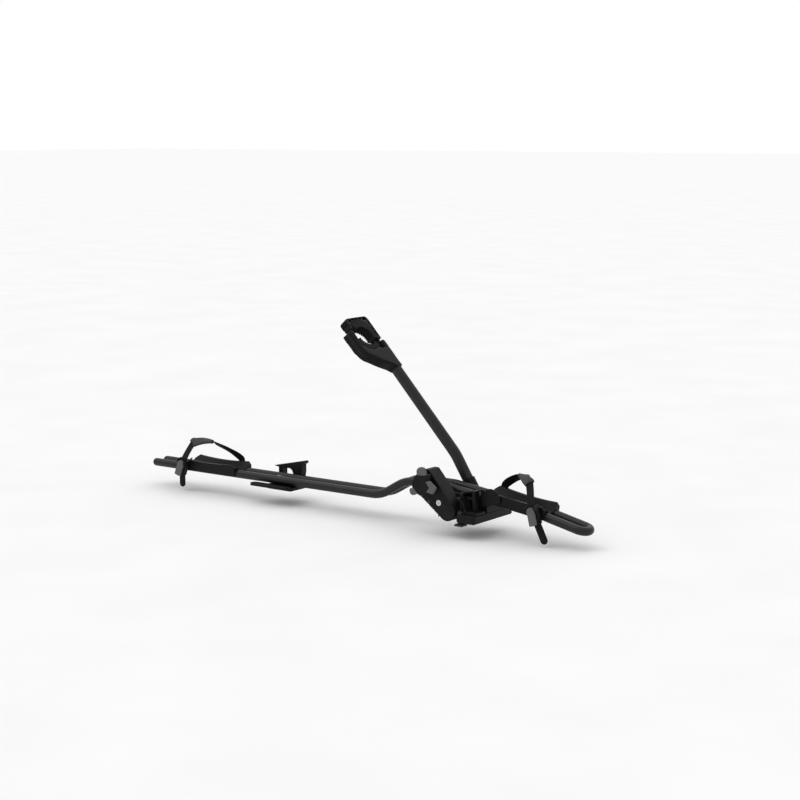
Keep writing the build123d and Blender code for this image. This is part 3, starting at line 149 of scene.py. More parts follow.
def bump(tree, height, strength, distance, under=None):
    """Normal of a fine relief, distance metres high, over the normal given by under."""
    node = tree.nodes.new("ShaderNodeBump")
    node.inputs["Strength"].default_value = strength
    node.inputs["Distance"].default_value = distance
    tree.links.new(height, node.inputs["Height"])
    if under is not None:
        tree.links.new(under, node.inputs["Normal"])
    return node.outputs["Normal"]


def rubbed(tree, place, tone, worn):
    """Tone with the worn colour mixed into it, in patches along the sharp edges."""
    edges = tree.nodes.new("ShaderNodeNewGeometry").outputs["Pointiness"]
    rub = ramp(tree, edges, (0, 0, 0), (1, 1, 1), start=0.52, end=0.62)
    patchy = tree.nodes.new("ShaderNodeMath")
    patchy.operation = "MULTIPLY"
    tree.links.new(rub, patchy.inputs[0])
    tree.links.new(noise(tree, place, scale=60.0, detail=3.0), patchy.inputs[1])
    mix = tree.nodes.new("ShaderNodeMix")
    mix.data_type = "RGBA"
    tree.links.new(patchy.outputs[0], mix.inputs["Factor"])
    tree.links.new(tone, mix.inputs["A"])
    mix.inputs["B"].default_value = (*worn, 1)
    return mix.outputs["Result"]


def surface(name, dark, light, rough, grain, depth, worn=None, shine=0.12):
    """Moulded or coated surface: cloudy tone, fine grain and, if worn is given, lighter edges."""
    material, tree, shader = principled(name)
    place = object_place(tree)
    tone = ramp(tree, noise(tree, place, scale=28.0, detail=4.0), dark, light)
    if worn is not None:
        tone = rubbed(tree, place, tone, worn)
    tree.links.new(tone, shader.inputs["Base Color"])
    shader.inputs["Specular IOR Level"].default_value = shine
    patches = noise(tree, place, scale=45.0, detail=3.0)
    tree.links.new(span(tree, patches, rough - 0.06, rough + 0.08), shader.inputs["Roughness"])
    fine = noise(tree, place, scale=grain, detail=2.0)
    tree.links.new(bump(tree, fine, 0.35, depth), shader.inputs["Normal"])
    return material


def moulded_rubber(name, dark, light, rough):
    """Dull rubber or strap plastic: a fine skin over broad faint waves."""
    material, tree, shader = principled(name)
    place = object_place(tree)
    tone = ramp(tree, noise(tree, place, scale=40.0, detail=5.0), dark, light)
    tree.links.new(tone, shader.inputs["Base Color"])
    shader.inputs["Specular IOR Level"].default_value = 0.12
    patches = noise(tree, place, scale=80.0, detail=3.0)
    tree.links.new(span(tree, patches, rough - 0.05, rough + 0.1), shader.inputs["Roughness"])
    waves = bump(tree, noise(tree, place, scale=160.0, detail=2.0), 0.25, 0.0004)
    skin = bump(tree, noise(tree, place, scale=1800.0, detail=3.0), 0.4, 0.00012, waves)
    tree.links.new(skin, shader.inputs["Normal"])
    return material


def brushed(name, dark, light, rough):
    """Plated or turned steel, with fine lines."""
    material, tree, shader = principled(name)
    stretch = tree.nodes.new("ShaderNodeMapping")
    stretch.inputs["Scale"].default_value = (1.0, 1.0, 14.0)
    tree.links.new(object_place(tree), stretch.inputs["Vector"])
    lines = noise(tree, stretch.outputs["Vector"], scale=300.0, detail=3.0)
    tree.links.new(ramp(tree, lines, dark, light), shader.inputs["Base Color"])
    shader.inputs["Metallic"].default_value = 1.0
    tree.links.new(span(tree, lines, rough - 0.08, rough + 0.1), shader.inputs["Roughness"])
    tree.links.new(bump(tree, lines, 0.2, 0.00005), shader.inputs["Normal"])
    return material


materials = {
    "black_tube": surface("black_tube", dark=(0.0065, 0.0065, 0.007), light=(0.010, 0.010, 0.0105),
                          rough=0.36, grain=1500.0, depth=0.00006,
                          worn=(0.016, 0.016, 0.0165), shine=0.3),
    "black_plastic": surface("black_plastic", dark=(0.0038, 0.0038, 0.0042),
                             light=(0.0062, 0.0062, 0.0067), rough=0.42, grain=2200.0,
                             depth=0.0001, worn=(0.012, 0.012, 0.0125), shine=0.13),
    "grey_plastic": surface("grey_plastic", dark=(0.085, 0.086, 0.088), light=(0.11, 0.111, 0.113),
                            rough=0.5, grain=2200.0, depth=0.0001, worn=(0.17, 0.17, 0.17)),
    "pulley_plastic": surface("pulley_plastic", dark=(0.5, 0.5, 0.47), light=(0.58, 0.58, 0.55),
                              rough=0.5, grain=2000.0, depth=0.0001),
    "black_strap": moulded_rubber("black_strap", dark=(0.004, 0.004, 0.0045),
                                  light=(0.007, 0.007, 0.0075), rough=0.52),
    "grey_rubber": moulded_rubber("grey_rubber", dark=(0.050, 0.052, 0.054),
                                  light=(0.068, 0.070, 0.072), rough=0.6),
    "black_rubber": moulded_rubber("black_rubber", dark=(0.009, 0.009, 0.009),
                                   light=(0.015, 0.015, 0.015), rough=0.7),
    "steel": brushed("steel", dark=(0.32, 0.32, 0.33), light=(0.5, 0.5, 0.51), rough=0.38),
    "dark_steel": brushed("dark_steel", dark=(0.03, 0.03, 0.031), light=(0.06, 0.06, 0.061),
                          rough=0.42),
    "lock_metal": brushed("lock_metal", dark=(0.5, 0.5, 0.5), light=(0.68, 0.68, 0.68), rough=0.35),
}
slot_of = {row["node"]: row["material_slot"] for row in frame["record"]["subparts"]}
body_of = {node: body for body, members in frame["record"]["behaviour"]["bodies"].items()
           for node in members}
dark_fasteners = (
    "front_t_bolts", "front_nuts", "rear_t_bolt", "rear_lever_pin", "front_buckle_pin",
    "rear_buckle_pin", "pivot_bushes", "front_strap_rivet", "rear_strap_rivet", "housing_screws",
    "jaw_pin",
)


def dress(piece, slot):
    """One material over the whole piece."""
    piece.data.materials.clear()
    piece.data.materials.append(materials[slot])


for node_name, node_object in nodes.items():
    dress(node_object, slot_of[node_name])
for node_name in dark_fasteners:
    nodes[node_name].data.materials[0] = materials["dark_steel"]


# Mesh helpers

weld_distance = 0.002 * mm
flat_angle = math.radians(1.0)
sharp_angle = math.radians(32)


def new_piece(name, mesh, body, slot):
    """Piece that rides on a body, in a slot's finish."""
    piece = bpy.data.objects.new(name, mesh)
    bpy.context.scene.collection.objects.link(piece)
    dress(piece, slot)
    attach(piece, body)
    return piece


def mesh_of(work, name):
    bmesh.ops.recalc_face_normals(work, faces=work.faces)
    mesh = bpy.data.meshes.new(name)
    work.to_mesh(mesh)
    work.free()
    return mesh


def clean_copy(node):
    """Copy of a node's mesh with flat faces merged again."""
    work = bmesh.new()
    work.from_mesh(nodes[node].data)
    bmesh.ops.remove_doubles(work, verts=work.verts, dist=weld_distance)
    bmesh.ops.dissolve_limit(work, angle_limit=flat_angle, verts=work.verts, edges=work.edges)
    mesh = bpy.data.meshes.new(node + "_skin")
    work.to_mesh(mesh)
    work.free()
    return mesh


def settled(piece):
    """Applies the piece's modifiers."""
    bpy.context.view_layer.update()
    graph = bpy.context.evaluated_depsgraph_get()
    mesh = bpy.data.meshes.new_from_object(piece.evaluated_get(graph))
    piece.modifiers.clear()
    old = piece.data
    piece.data = mesh
    bpy.data.meshes.remove(old)


def bevel(piece, width, segments=3):
    """Rounds the piece's sharp edges, width in millimetres, and keeps its flat faces flat."""
    modifier = piece.modifiers.new("bevel", "BEVEL")
    modifier.width = width * mm
    modifier.segments = segments
    modifier.limit_method = "ANGLE"
    modifier.angle_limit = sharp_angle
    modifier.use_clamp_overlap = True
    piece.data.shade_smooth()
    weighted = piece.modifiers.new("weighted", "WEIGHTED_NORMAL")
    weighted.keep_sharp = True
    settled(piece)


def prism(name, outline, depth, drawing_frame):
    """Mesh over (x, y) points in millimetres, from depth[0] to depth[1] along the frame's Z."""
    work = bmesh.new()
    low, high = [[work.verts.new(drawing_frame @ (Vector((x, y, level)) * mm)) for x, y in outline]
                 for level in depth]
    work.faces.new(list(reversed(low)))
    work.faces.new(high)
    count = len(outline)
    for i in range(count):
        work.faces.new((low[i], low[(i + 1) % count], high[(i + 1) % count], high[i]))
    return mesh_of(work, name)


def skin_rings(name, rings, closed_ends=True):
    """Mesh over rings of points, all of one length."""
    work = bmesh.new()
    loops = [[work.verts.new(point) for point in ring] for ring in rings]
    size = len(loops[0])
    for a, b in zip(loops, loops[1:]):
        for i in range(size):
            work.faces.new((a[i], a[(i + 1) % size], b[(i + 1) % size], b[i]))
    if closed_ends:
        work.faces.new(list(reversed(loops[0])))
        work.faces.new(loops[-1])
    return mesh_of(work, name)


def joined(name, meshes):
    """One mesh from several."""
    work = bmesh.new()
    for mesh in meshes:
        work.from_mesh(mesh)
    return mesh_of(work, name)


def cut(piece, cutter_mesh):
    """Takes the cutter out of the piece."""
    cutter = bpy.data.objects.new("cutter", cutter_mesh)
    bpy.context.scene.collection.objects.link(cutter)
    modifier = piece.modifiers.new("cut", "BOOLEAN")
    modifier.operation = "DIFFERENCE"
    modifier.solver = "EXACT"
    modifier.object = cutter
    settled(piece)
    bpy.data.objects.remove(cutter)


def melted(piece, voxel, passes, keep, softness):
    """Remeshes a piece of the claw in voxels of that many millimetres and rounds its edges, as far
    as softness says for a point in the claw's frame. keep is the share of its faces that stays."""
    remesh = piece.modifiers.new("remesh", "REMESH")
    remesh.mode = "VOXEL"
    remesh.voxel_size = voxel * mm
    settled(piece)
    group = piece.vertex_groups.new(name="soft")
    to_claw = claw_frame.inverted()
    for vertex in piece.data.vertices:
        group.add([vertex.index], softness(to_claw @ vertex.co / mm), "REPLACE")
    smooth = piece.modifiers.new("smooth", "SMOOTH")
    smooth.factor = 0.5
    smooth.iterations = passes
    smooth.vertex_group = "soft"
    thin = piece.modifiers.new("thin", "DECIMATE")
    thin.ratio = keep
    settled(piece)
    piece.vertex_groups.clear()
    piece.data.shade_smooth()


# Straps and rim pads, in millimetres in their wheel tray's frame: o along the rail, from the
# carrier's middle outwards, y across it and n up from the tubes

front_slope = math.atan2(37.6, 275)
front_tray = basis(Vector((98 * mm, 0, 44.58 * mm)),
                   Vector((math.cos(front_slope), 0, -math.sin(front_slope))),
                   Vector((0, 1, 0)),
                   Vector((math.sin(front_slope), 0, math.cos(front_slope))))
rear_tray = Matrix.Translation((-868.6 * mm, 0, 23.2 * mm))

# buckle: its middle (o, n). rim: o where the strap meets the rim's near and far side. far: o of the
# riveted end. tail: length that hangs out of the buckle, and tail_turn how it leans, in degrees.
front_strap = {
    "frame": front_tray, "body": "carrier", "out": 1, "buckle": (88, 4), "rim": (46, -1),
    "far": -54, "tail": 50, "tail_turn": 34,
}
rear_strap = {
    "frame": rear_tray, "body": "rear_tray", "out": -1, "buckle": (70, 5), "rim": (59, 6),
    "far": -66, "tail": 36, "tail_turn": 0,
}

strap_half, strap_thick, strap_corner = 10.0, 2.4, 0.8
ring_step = 0.9
curve_steps = 24
# Through the buckle: its middle across, how the strap leans and turns in it, and points along it
buckle_y = 44.5
buckle_lean = math.tan(math.radians(12.8))
buckle_turn = math.radians(21.6)
buckle_reaches = (-24.4, -14.0, 0.0, 14.0, 24.4)
tail_shares = (1.0, 0.66, 0.33)
# Over the rim: an arch of this half width, level and rise, and how the strap's face turns on it
rim_steps = 6
rim_half, rim_level, rim_rise = 15.5, 66, 6
rim_roll, rim_lift = 0.7, 0.39
# Down the far side: a bend between the rim and the end, and the levels of the riveted end
bend_far, bend_near, bend_y, bend_level = 0.55, 0.45, 30.5, 48
bend_face = (0, 1, 0.75)
far_y = 40.6
far_levels = (27, 16, 5)


def strap_rows(spec):
    """Control points and outward normals of a strap, from its tail to its riveted end."""
    buckle_o, buckle_n = spec["buckle"]
    near_rim, far_rim = spec["rim"]
    tail_turn = math.radians(spec["tail_turn"])
    rows = []
    for reach in buckle_reaches:
        rows.append((buckle_o - math.sin(buckle_turn) * reach, -buckle_y - buckle_lean * reach,
                     buckle_n + math.cos(buckle_turn) * reach, (0, -1, 0)))
    low_o, low_y, low_n, low_face = rows[0]
    rows = [(low_o + math.sin(tail_turn) * spec["tail"] * share, low_y,
             low_n - math.cos(tail_turn) * spec["tail"] * share, low_face)
            for share in tail_shares] + rows
    for step in range(rim_steps + 1):
        share = step / rim_steps
        angle = math.pi * (1 - share)
        # The face turns later than the path bends, and leans up at the near side
        face = math.pi * (1 - rim_roll * share)
        rows.append((near_rim + (far_rim - near_rim) * share, rim_half * math.cos(angle),
                     rim_level + rim_rise * math.sin(angle),
                     (0, math.cos(face), math.sin(face) + rim_lift * (1 - share))))
    rows.append((spec["far"] * bend_far + far_rim * bend_near, bend_y, bend_level, bend_face))
    for level in far_levels:
        rows.append((spec["far"], far_y, level, (0, 1, 0)))
    points = [Vector((spec["out"] * o, y, n)) for o, y, n, face in rows]
    return points, [Vector(face).normalized() for o, y, n, face in rows]


def smooth_rows(points, normals):
    """Evenly spaced rows on a smooth curve through the control points: point, direction of the run,
    outward normal, length so far and whole length."""
    fine = []
    for i in range(len(points) - 1):
        p0, p1 = points[max(i - 1, 0)], points[i]
        p2, p3 = points[i + 1], points[min(i + 2, len(points) - 1)]
        chord = (p2 - p1).length
        m1 = (p2 - p0) / max((p1 - p0).length + chord, 1e-6) * chord
        m2 = (p3 - p1) / max((p3 - p2).length + chord, 1e-6) * chord
        for k in range(curve_steps):
            t = k / curve_steps
            h = (2 * t ** 3 - 3 * t ** 2 + 1, t ** 3 - 2 * t ** 2 + t, -2 * t ** 3 + 3 * t ** 2,
                 t ** 3 - t ** 2)
            fine.append((p1 * h[0] + m1 * h[1] + p2 * h[2] + m2 * h[3],
                         normals[i].lerp(normals[i + 1], t)))
    fine.append((points[-1], normals[-1]))
    total = sum((b[0] - a[0]).length for a, b in zip(fine, fine[1:]))
    count = max(int(total / ring_step), 2)
    even = []
    walked, at = 0.0, 0
    for k in range(count + 1):
        goal = total * k / count
        while at < len(fine) - 2 and walked + (fine[at + 1][0] - fine[at][0]).length < goal:
            walked += (fine[at + 1][0] - fine[at][0]).length
            at += 1
        length = max((fine[at + 1][0] - fine[at][0]).length, 1e-6)
        share = min(max((goal - walked) / length, 0), 1)
        even.append((fine[at][0].lerp(fine[at + 1][0], share),
                     fine[at][1].lerp(fine[at + 1][1], share)))
    rows = []
    for k, (point, normal) in enumerate(even):
        run = (even[min(k + 1, count)][0] - even[max(k - 1, 0)][0]).normalized()
        flat = (normal - run * normal.dot(run)).normalized()
        rows.append((point, run, flat, total * k / count, total))
    return rows


def rim_of(half_width, half_thick, corner, per=3):
    """Outline of a flat band's section with rounded corners, as (across, out) pairs."""
    outline = []
    for sx, sy, first in ((1, 1, 0), (-1, 1, 90), (-1, -1, 180), (1, -1, 270)):
        for k in range(per + 1):
            angle = math.radians(first + 90 * k / per)
            outline.append((sx * (half_width - corner) + corner * math.cos(angle),
                            sy * (half_thick - corner) + corner * math.sin(angle)))
    return outline


rib_start, rib_past_tail = 4.0, 78
rib_pitch, rib_height, rib_margin = 3.6, 0.42, 2.2
tip_half = 0.6


def strap_piece(name, spec, node):
    """Moulded strap with cross ribs on its outer face and both ends rounded off."""
    rings = []
    for point, run, flat, at, total in smooth_rows(*strap_rows(spec)):
        side = run.cross(flat)
        half = strap_half
        for edge in (at, total - at):
            if edge < strap_half:
                round_end = strap_half ** 2 - (strap_half - edge) ** 2
                half = min(half, math.sqrt(max(round_end, tip_half ** 2)))
        ribbed = rib_start < at < spec["tail"] + rib_past_tail
        rib = rib_height if ribbed and (at / rib_pitch) % 1.0 < 0.5 else 0.0
        ring = []
        for across, out in rim_of(half, strap_thick / 2, min(strap_corner, half * 0.5)):
            lift = rib if out > 0 and abs(across) < half - rib_margin else 0.0
            ring.append(spec["frame"] @ ((point + side * across + flat * (out + lift)) * mm))
        rings.append(ring)
    piece = new_piece(name, skin_rings(name, rings), spec["body"], "black_strap")
    piece.data.shade_smooth()
    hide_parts(node)


# The pad runs from the first control point on the rim to the last but one
pad_first = len(tail_shares) + len(buckle_reaches)
pad_last = pad_first + rim_steps - 1
pad_half, pad_thick, pad_corner = 11.8, 4.0, 2.2
hole_half, hole_thick, hole_corner = 10.3, 1.75, 0.8
near_collar, far_collar = 7.0, 4.0
near_swell, far_swell = 1.1, 0.5
swell_wide, swell_thick = 0.8, 0.7
collar_full, collar_fall = 0.6, 4
edge_round, edge_sink = 1.2, 0.35
seam_weld = 0.01 * mm


def collar(share):
    """1 over the first part of a collar, falling to 0 before its end."""
    return max(0.0, 1 - max(share - collar_full, 0) * collar_fall)


def pad_piece(name, spec, node):
    """Grey sleeve on the strap over the rim, with a collar at both ends, the near one stronger."""
    points, normals = strap_rows(spec)
    rows = smooth_rows(points, normals)
    start, end = [min(range(len(rows)), key=lambda k: (rows[k][0] - points[index]).length)
                  for index in (pad_first, pad_last)]
    outer, inner = [], []
    for k in range(start, end + 1):
        point, run, flat, at, total = rows[k]
        side = run.cross(flat)
        near = (at - rows[start][3]) / near_collar
        far = (rows[end][3] - at) / far_collar
        swell = near_swell * collar(near) + far_swell * collar(far)
        edge = min(near * near_collar, far * far_collar, edge_round) - edge_round
        wide = pad_half + swell * swell_wide + edge * edge_sink
        along = (k - start) / (end - start)
        thick = pad_thick + along + swell * swell_thick + edge * edge_sink
        for rings, section in ((outer, rim_of(wide, thick, pad_corner)),
                               (inner, rim_of(hole_half, hole_thick, hole_corner))):
            rings.append([spec["frame"] @ ((point + side * u + flat * v) * mm) for u, v in section])
    sleeve = skin_rings(name, [inner[0]] + outer + list(reversed(inner)), closed_ends=False)
    work = bmesh.new()
    work.from_mesh(sleeve)
    bmesh.ops.remove_doubles(work, verts=work.verts, dist=seam_weld)
    piece = new_piece(name, mesh_of(work, name), spec["body"], "grey_rubber")
    piece.data.shade_smooth()
    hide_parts(node)


# Rounded skins of the carrier's mouldings

def rounded(node, width, segments=3):
    """Piece with rounded edges that stands for a node."""
    piece = new_piece(node + "_skin", clean_copy(node), body_of[node], slot_of[node])
    bevel(piece, width, segments)
    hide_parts(node)


rounded_nodes = {
    "front_wheel_tray": 1.2,
    "rear_wheel_tray": 1.2,
    "front_foot_base": 1.0,
    "front_foot_cover": 0.8,
    "front_foot_tower": 1.2,
    "front_side_plate": 0.8,
    "front_buckle_body": 1.0,
    "rear_buckle_body": 1.0,
    "front_buckle_lever": 0.9,
    "rear_buckle_lever": 0.9,
    "arm_knuckle": 1.5,
    "rear_foot_plate": 0.9,
    "rear_clamp_lever": 0.9,
}


# Housing, knob and foot details, drawn from the side

housing_foot = ((0, -28), (5, -28), (4, -31), (1, -31))
housing_foot_places = (4, 24, 44)
housing_foot_depth = (78.0, 86.0)

knob_core_depth = (93.0, 112.8)
knob_core = ((-13, 23), (-22.5, 12), (-28.2, -2), (-26, -15), (-14, -25.5), (-2, -30.5),
             (9.8, -25.5), (18, -20), (26, -8), (16.5, 7), (16, 23))
knob_tip_depth = (106.0, 113.6)
knob_tips = (
    ((-12.3, 19.2), (-13.2, 31), (-9.5, 37.3), (-3, 40.2), (5, 40.2), (10, 37.6), (12.8, 30),
     (14, 21.5)),
    ((13.7, 6), (23.6, 9.2), (31, 3.5), (42.6, -5.2), (42.2, -9.5), (34, -22), (15.5, -19),
     (24, -7.6)),
    ((-33.2, -15.2), (-34.2, -22), (-31, -28.5), (-25, -31), (-18.5, -29.5), (-11.5, -24),
     (-22.5, -12.6)),
)

foot_lip_depth = (40.8, 80.0)
foot_lip = ((-13, 59.5), (-2, 54.5), (5, 49.5), (9.5, 42), (11, 34), (12.8, 30.2), (17, 28.4),
            (27, 28), (44, 27), (44, 20.5), (8, 20.5), (8, 31), (7, 39), (3, 46.3), (-3.5, 51.3),
            (-13, 56))
foot_wall_depth = (40.8, 61.0)
foot_wall = ((-14, 57.5), (-14, 68.5), (21, 76.2), (28, 76.2), (28, 26), (9.5, 26), (9, 42),
             (4.5, 49), (-2, 54))
foot_window_depth = (46.0, 75.0)
foot_windows = {
    "upper": ((-10, 66.4), (19.5, 72.4), (19.5, 60.0), (-10, 62)),
    "lower": ((6.5, 52.5), (19.5, 54.8), (19.5, 31), (13.5, 31), (12.5, 43)),
}

crest_depth = (37.2, 40.9)
crest_start, crest_length, crest_steps = 45, 34, 10
crest_level, crest_fall, crest_rise = 79.5, 5.0, 5.2
crest_feet = (74, 66)


def housing_halves():
    """Both halves of the drive housing with broad round edges, and small feet on the lower one."""
    rounded("housing_cover", 3.4, 5)
    rounded("housing_shell", 1.8, 4)
    feet = [prism("foot", [(place + s, b) for s, b in housing_foot], housing_foot_depth, arm_frame)
            for place in housing_foot_places]
    piece = new_piece("housing_feet", joined("feet", feet), "arm", "black_plastic")
    bevel(piece, 0.7, 2)


def knob_pieces():
    """Dark core with a flat face, and the grey tips of its three lobes."""
    core = new_piece("knob_core_skin", prism("core", knob_core, knob_core_depth, knob_frame),
                     "knob", "black_plastic")
    bevel(core, 1.6)
    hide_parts("knob_core")
    tips = [prism("tip", outline, knob_tip_depth, knob_frame) for outline in knob_tips]
    caps = new_piece("knob_tip_caps", joined("tip caps", tips), "knob", "grey_plastic")
    bevel(caps, 1.1)
    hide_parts("knob_tips")


def foot_side():
    """Near side of the front foot: a lip that curves round the housing's end, and a wall with two
    windows."""
    lip = new_piece("foot_lip", prism("lip", foot_lip, foot_lip_depth, side_frame), "carrier",
                    "black_plastic")
    bevel(lip, 1.0)
    wall = new_piece("foot_side", prism("wall", foot_wall, foot_wall_depth, side_frame), "carrier",
                     "black_plastic")
    cut(wall, joined("windows", [prism(name, outline, foot_window_depth, side_frame)
                                 for name, outline in foot_windows.items()]))
    bevel(wall, 0.9)


def plate_crest():
    """Low crest along the side plate's upper edge."""
    outline = [(crest_start, crest_feet[0])]
    for k in range(crest_steps + 1):
        arch = crest_rise * math.sin(math.pi * k / crest_steps)
        outline.append((crest_start + crest_length * k / crest_steps,
                        crest_level - crest_fall * k / crest_steps + arch))
    outline.append((crest_start + crest_length, crest_feet[1]))
    piece = new_piece("plate_crest", prism("crest", outline, crest_depth, side_frame), "carrier",
                      "black_plastic")
    bevel(piece, 0.7)


# Claw, in millimetres in its own frame

roll_radius, roll_sides = 8.6, 24
roll_y, roll_level, roll_sink = 40.3, 8.6, 6
roll_rows = ((21.5, 0.8), (18.0, 1.0), (-10.0, 1.0), (-40.0, 1.0), (-52.0, 0.75))

# Pockets of the jaw's upper face, each from one corner (a, q) to the opposite one
jaw_pockets = (
    (45.5, -40, 54.5, -30), (49.5, -26, 54.5, -15), (50.0, -11, 54.5, 0), (49.5, 4, 54.5, 15),
    (45.5, 19, 54, 27), (30, -48.5, 42, -41.5), (14, -48.5, 26, -43.5), (-4, -48.5, 10, -44.0),
)
pocket_depth = (12.0, 20.0)
grid_columns, grid_rows, grid_hole = (39.5, 46.0, 52.5), (-5.0, 1.5, 8.0), 3.5
grid_from, grid_to = 33.5, 40
jaw_lip = ((39, 24.5), (39, 35.6), (29, 35.6), (25.5, 33), (27, 28.5), (32, 24.5))
jaw_lip_depth = (-8.5, 14.5)

# Pads, and the angles in degrees between which their slots lie
claw_pads = (("palm_pad", 98, 248), ("jaw_pad", -66, 70))
slot_pitch = 11
slot_section = ((25.0, -1.1), (29.0, -1.1), (29.0, 1.1), (25.0, 1.1))
slot_depth = (-22.0, 26.0)

# Softness of palm and jaw when they are melted: where it changes, over what length, and its values
mouth_radius, mouth_blend, mouth_least = 32, 9, 0.04
socket_end, socket_blend, socket_least = -101, 14, 0.1
finger_softness = 0.4
jaw_end, jaw_corner = 30, 12
jaw_softnesses = {"hinge": 0.12, "end": 0.35, "corner": 1.0}


def palm_softness(point):
    """Firm at the mouth and at the arm's socket, soft over the outside."""
    reach = math.hypot(point.x, point.y)
    mouth = min(max((reach - mouth_radius) / mouth_blend, mouth_least), 1.0)
    socket = min(max((point.x - socket_end) / socket_blend, socket_least), 1.0)
    finger = finger_softness if point.x > 0 else 1.0
    return mouth * socket * finger


def jaw_softness(point):
    """Firm towards the hinge, softer at the outer end and softest at its near corner."""
    if point.x < jaw_end:
        return jaw_softnesses["hinge"]
    return jaw_softnesses["corner" if point.y > jaw_corner else "end"]


def claw_palm():
    """Palm with a softly rounded outside and a round roll along its near finger."""
    circle = [(roll_radius * math.cos(2 * math.pi * k / roll_sides),
               roll_radius * math.sin(2 * math.pi * k / roll_sides)) for k in range(roll_sides)]
    rings = []
    for a, size in roll_rows:
        middle = roll_y - (size - 1) * roll_sink
        rings.append([claw_frame @ (Vector((a, middle + u * size, roll_level + v * size)) * mm)
                      for u, v in circle])
    palm = new_piece("claw_palm_skin",
                     joined("palm", [clean_copy("claw_palm"), skin_rings("roll", rings)]), "arm",
                     "black_plastic")
    melted(palm, voxel=0.9, passes=200, keep=0.35, softness=palm_softness)
    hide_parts("claw_palm")


def claw_jaw():
    """Jaw with pockets between its ribs, a grid of small holes in its end, and an end lip."""
    pockets = [prism("pocket", [(a0, q0), (a1, q0), (a1, q1), (a0, q1)], pocket_depth, claw_frame)
               for a0, q0, a1, q1 in jaw_pockets]
    for a in grid_columns:
        for b in grid_rows:
            outline = [(a, grid_from), (a + grid_hole, grid_from), (a + grid_hole, grid_to),
                       (a, grid_to)]
            pockets.append(prism("grid", outline, (b, b + grid_hole), claw_frame))
    jaw = new_piece("claw_jaw_skin", clean_copy("claw_jaw"), "jaw", "black_plastic")
    melted(jaw, voxel=0.8, passes=60, keep=0.35, softness=jaw_softness)
    cut(jaw, joined("pockets", pockets))
    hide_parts("claw_jaw")
    lip = new_piece("jaw_lip", prism("lip", jaw_lip, jaw_lip_depth, claw_frame), "jaw",
                    "black_plastic")
    bevel(lip, 2.0, 4)


def ribbed_pads():
    """Rubber pads of palm and jaw, with slots across that leave ribs between them."""
    for node, first, last in claw_pads:
        pad = new_piece(node + "_ribbed", clean_copy(node), body_of[node], slot_of[node])
        slots = []
        count = int((last - first) / slot_pitch)
        for k in range(count + 1):
            turn = math.radians(first + (last - first) * k / count)
            outline = [(u * math.cos(turn) - v * math.sin(turn),
                        u * math.sin(turn) + v * math.cos(turn)) for u, v in slot_section]
            slots.append(prism("slot", outline, slot_depth, claw_frame))
        cut(pad, joined("slots", slots))
        bevel(pad, 0.35, 2)
        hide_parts(node)


for node_name, edge_width in rounded_nodes.items():
    rounded(node_name, edge_width)
strap_piece("front_strap_band", front_strap, "front_strap")
strap_piece("rear_strap_band", rear_strap, "rear_strap")
pad_piece("front_pad_sleeve", front_strap, "front_rim_pad")
pad_piece("rear_pad_sleeve", rear_strap, "rear_rim_pad")
housing_halves()
knob_pieces()
foot_side()
plate_crest()
claw_palm()
claw_jaw()
ribbed_pads()


# Stage, light and camera

floor_reach = 60.0
floor_gap = 4 * mm


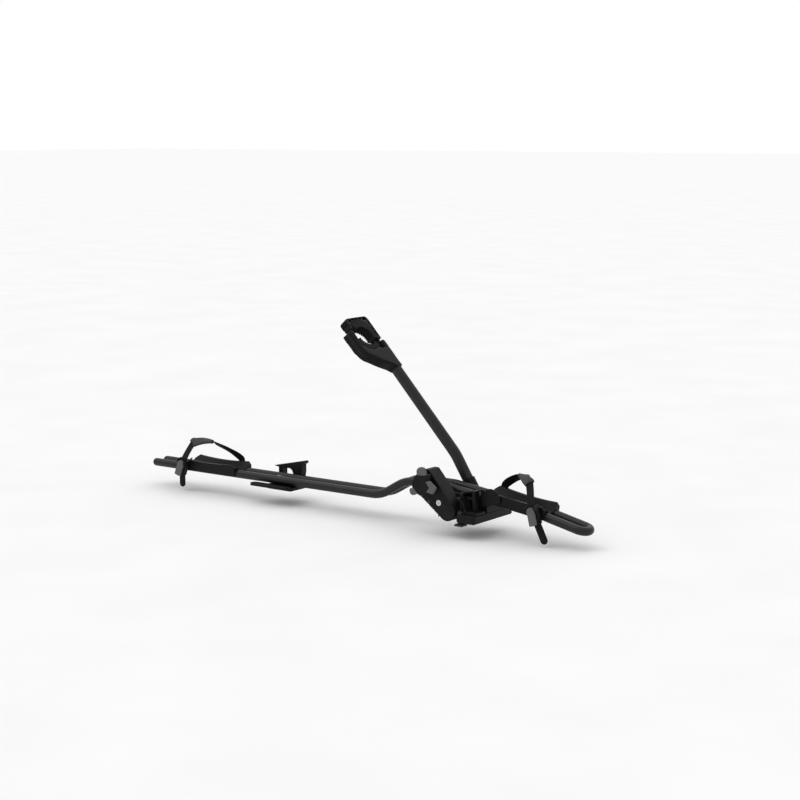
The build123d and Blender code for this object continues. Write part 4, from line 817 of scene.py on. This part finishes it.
def stage():
    """Broad pale floor just under the carrier."""
    mesh = bpy.data.meshes.new("floor")
    level = cad_box[0].z - floor_gap
    corners = [(x * floor_reach, y * floor_reach, level)
               for x, y in ((-1, -1), (1, -1), (1, 1), (-1, 1))]
    mesh.from_pydata(corners, [], [(0, 1, 2, 3)])
    floor = bpy.data.objects.new("floor", mesh)
    bpy.context.scene.collection.objects.link(floor)
    material, tree, shader = principled("floor")
    clouds = noise(tree, object_place(tree), scale=3.0, detail=2.0)
    tree.links.new(ramp(tree, clouds, (0.90, 0.90, 0.90), (0.93, 0.93, 0.93)),
                   shader.inputs["Base Color"])
    shader.inputs["Roughness"].default_value = 0.9
    shader.inputs["Specular IOR Level"].default_value = 0.1
    mesh.materials.append(material)


def world():
    """Plain sky, brighter towards the top, that the camera itself sees as white."""
    sky = bpy.data.worlds.new("studio")
    bpy.context.scene.world = sky
    sky.use_nodes = True
    tree = sky.node_tree
    place = tree.nodes.new("ShaderNodeTexCoord").outputs["Generated"]
    split = tree.nodes.new("ShaderNodeSeparateXYZ")
    tree.links.new(place, split.inputs["Vector"])
    height = tree.nodes.new("ShaderNodeMapRange")
    for socket, value in (("From Min", -0.2), ("From Max", 1.0), ("To Min", 0.55), ("To Max", 1.0)):
        height.inputs[socket].default_value = value
    tree.links.new(split.outputs["Z"], height.inputs["Value"])
    seen = tree.nodes.new("ShaderNodeMix")
    path = tree.nodes.new("ShaderNodeLightPath")
    tree.links.new(path.outputs["Is Camera Ray"], seen.inputs["Factor"])
    tree.links.new(height.outputs["Result"], seen.inputs["A"])
    seen.inputs["B"].default_value = 1.0
    back = tree.nodes["Background"]
    back.inputs["Color"].default_value = (1, 1, 1, 1)
    tree.links.new(seen.outputs["Result"], back.inputs["Strength"])


def sun_light(name, place, power, spread):
    """Broad soft light from a direction, the same all over the floor."""
    data = bpy.data.lights.new(name, "SUN")
    data.energy = power
    data.angle = math.radians(spread)
    light = bpy.data.objects.new(name, data)
    light.rotation_euler = (-Vector(place)).to_track_quat("-Z", "Y").to_euler()
    bpy.context.scene.collection.objects.link(light)


def camera():
    data = bpy.data.cameras.new("camera")
    data.lens = camera_lens
    data.sensor_width = camera_sensor
    data.clip_start, data.clip_end = camera_clip
    view = bpy.data.objects.new("camera", data)
    view.location = camera_place
    view.rotation_euler = tuple(math.radians(angle) for angle in camera_turn)
    bpy.context.scene.collection.objects.link(view)
    bpy.context.scene.camera = view


stage()
world()
sun_light("key", (-2.0, -2.2, 4.2), 0.45, 40)
sun_light("rim", (-1.0, 3.0, 3.4), 0.25, 50)
camera()
bpy.context.scene.view_settings.view_transform = "Standard"
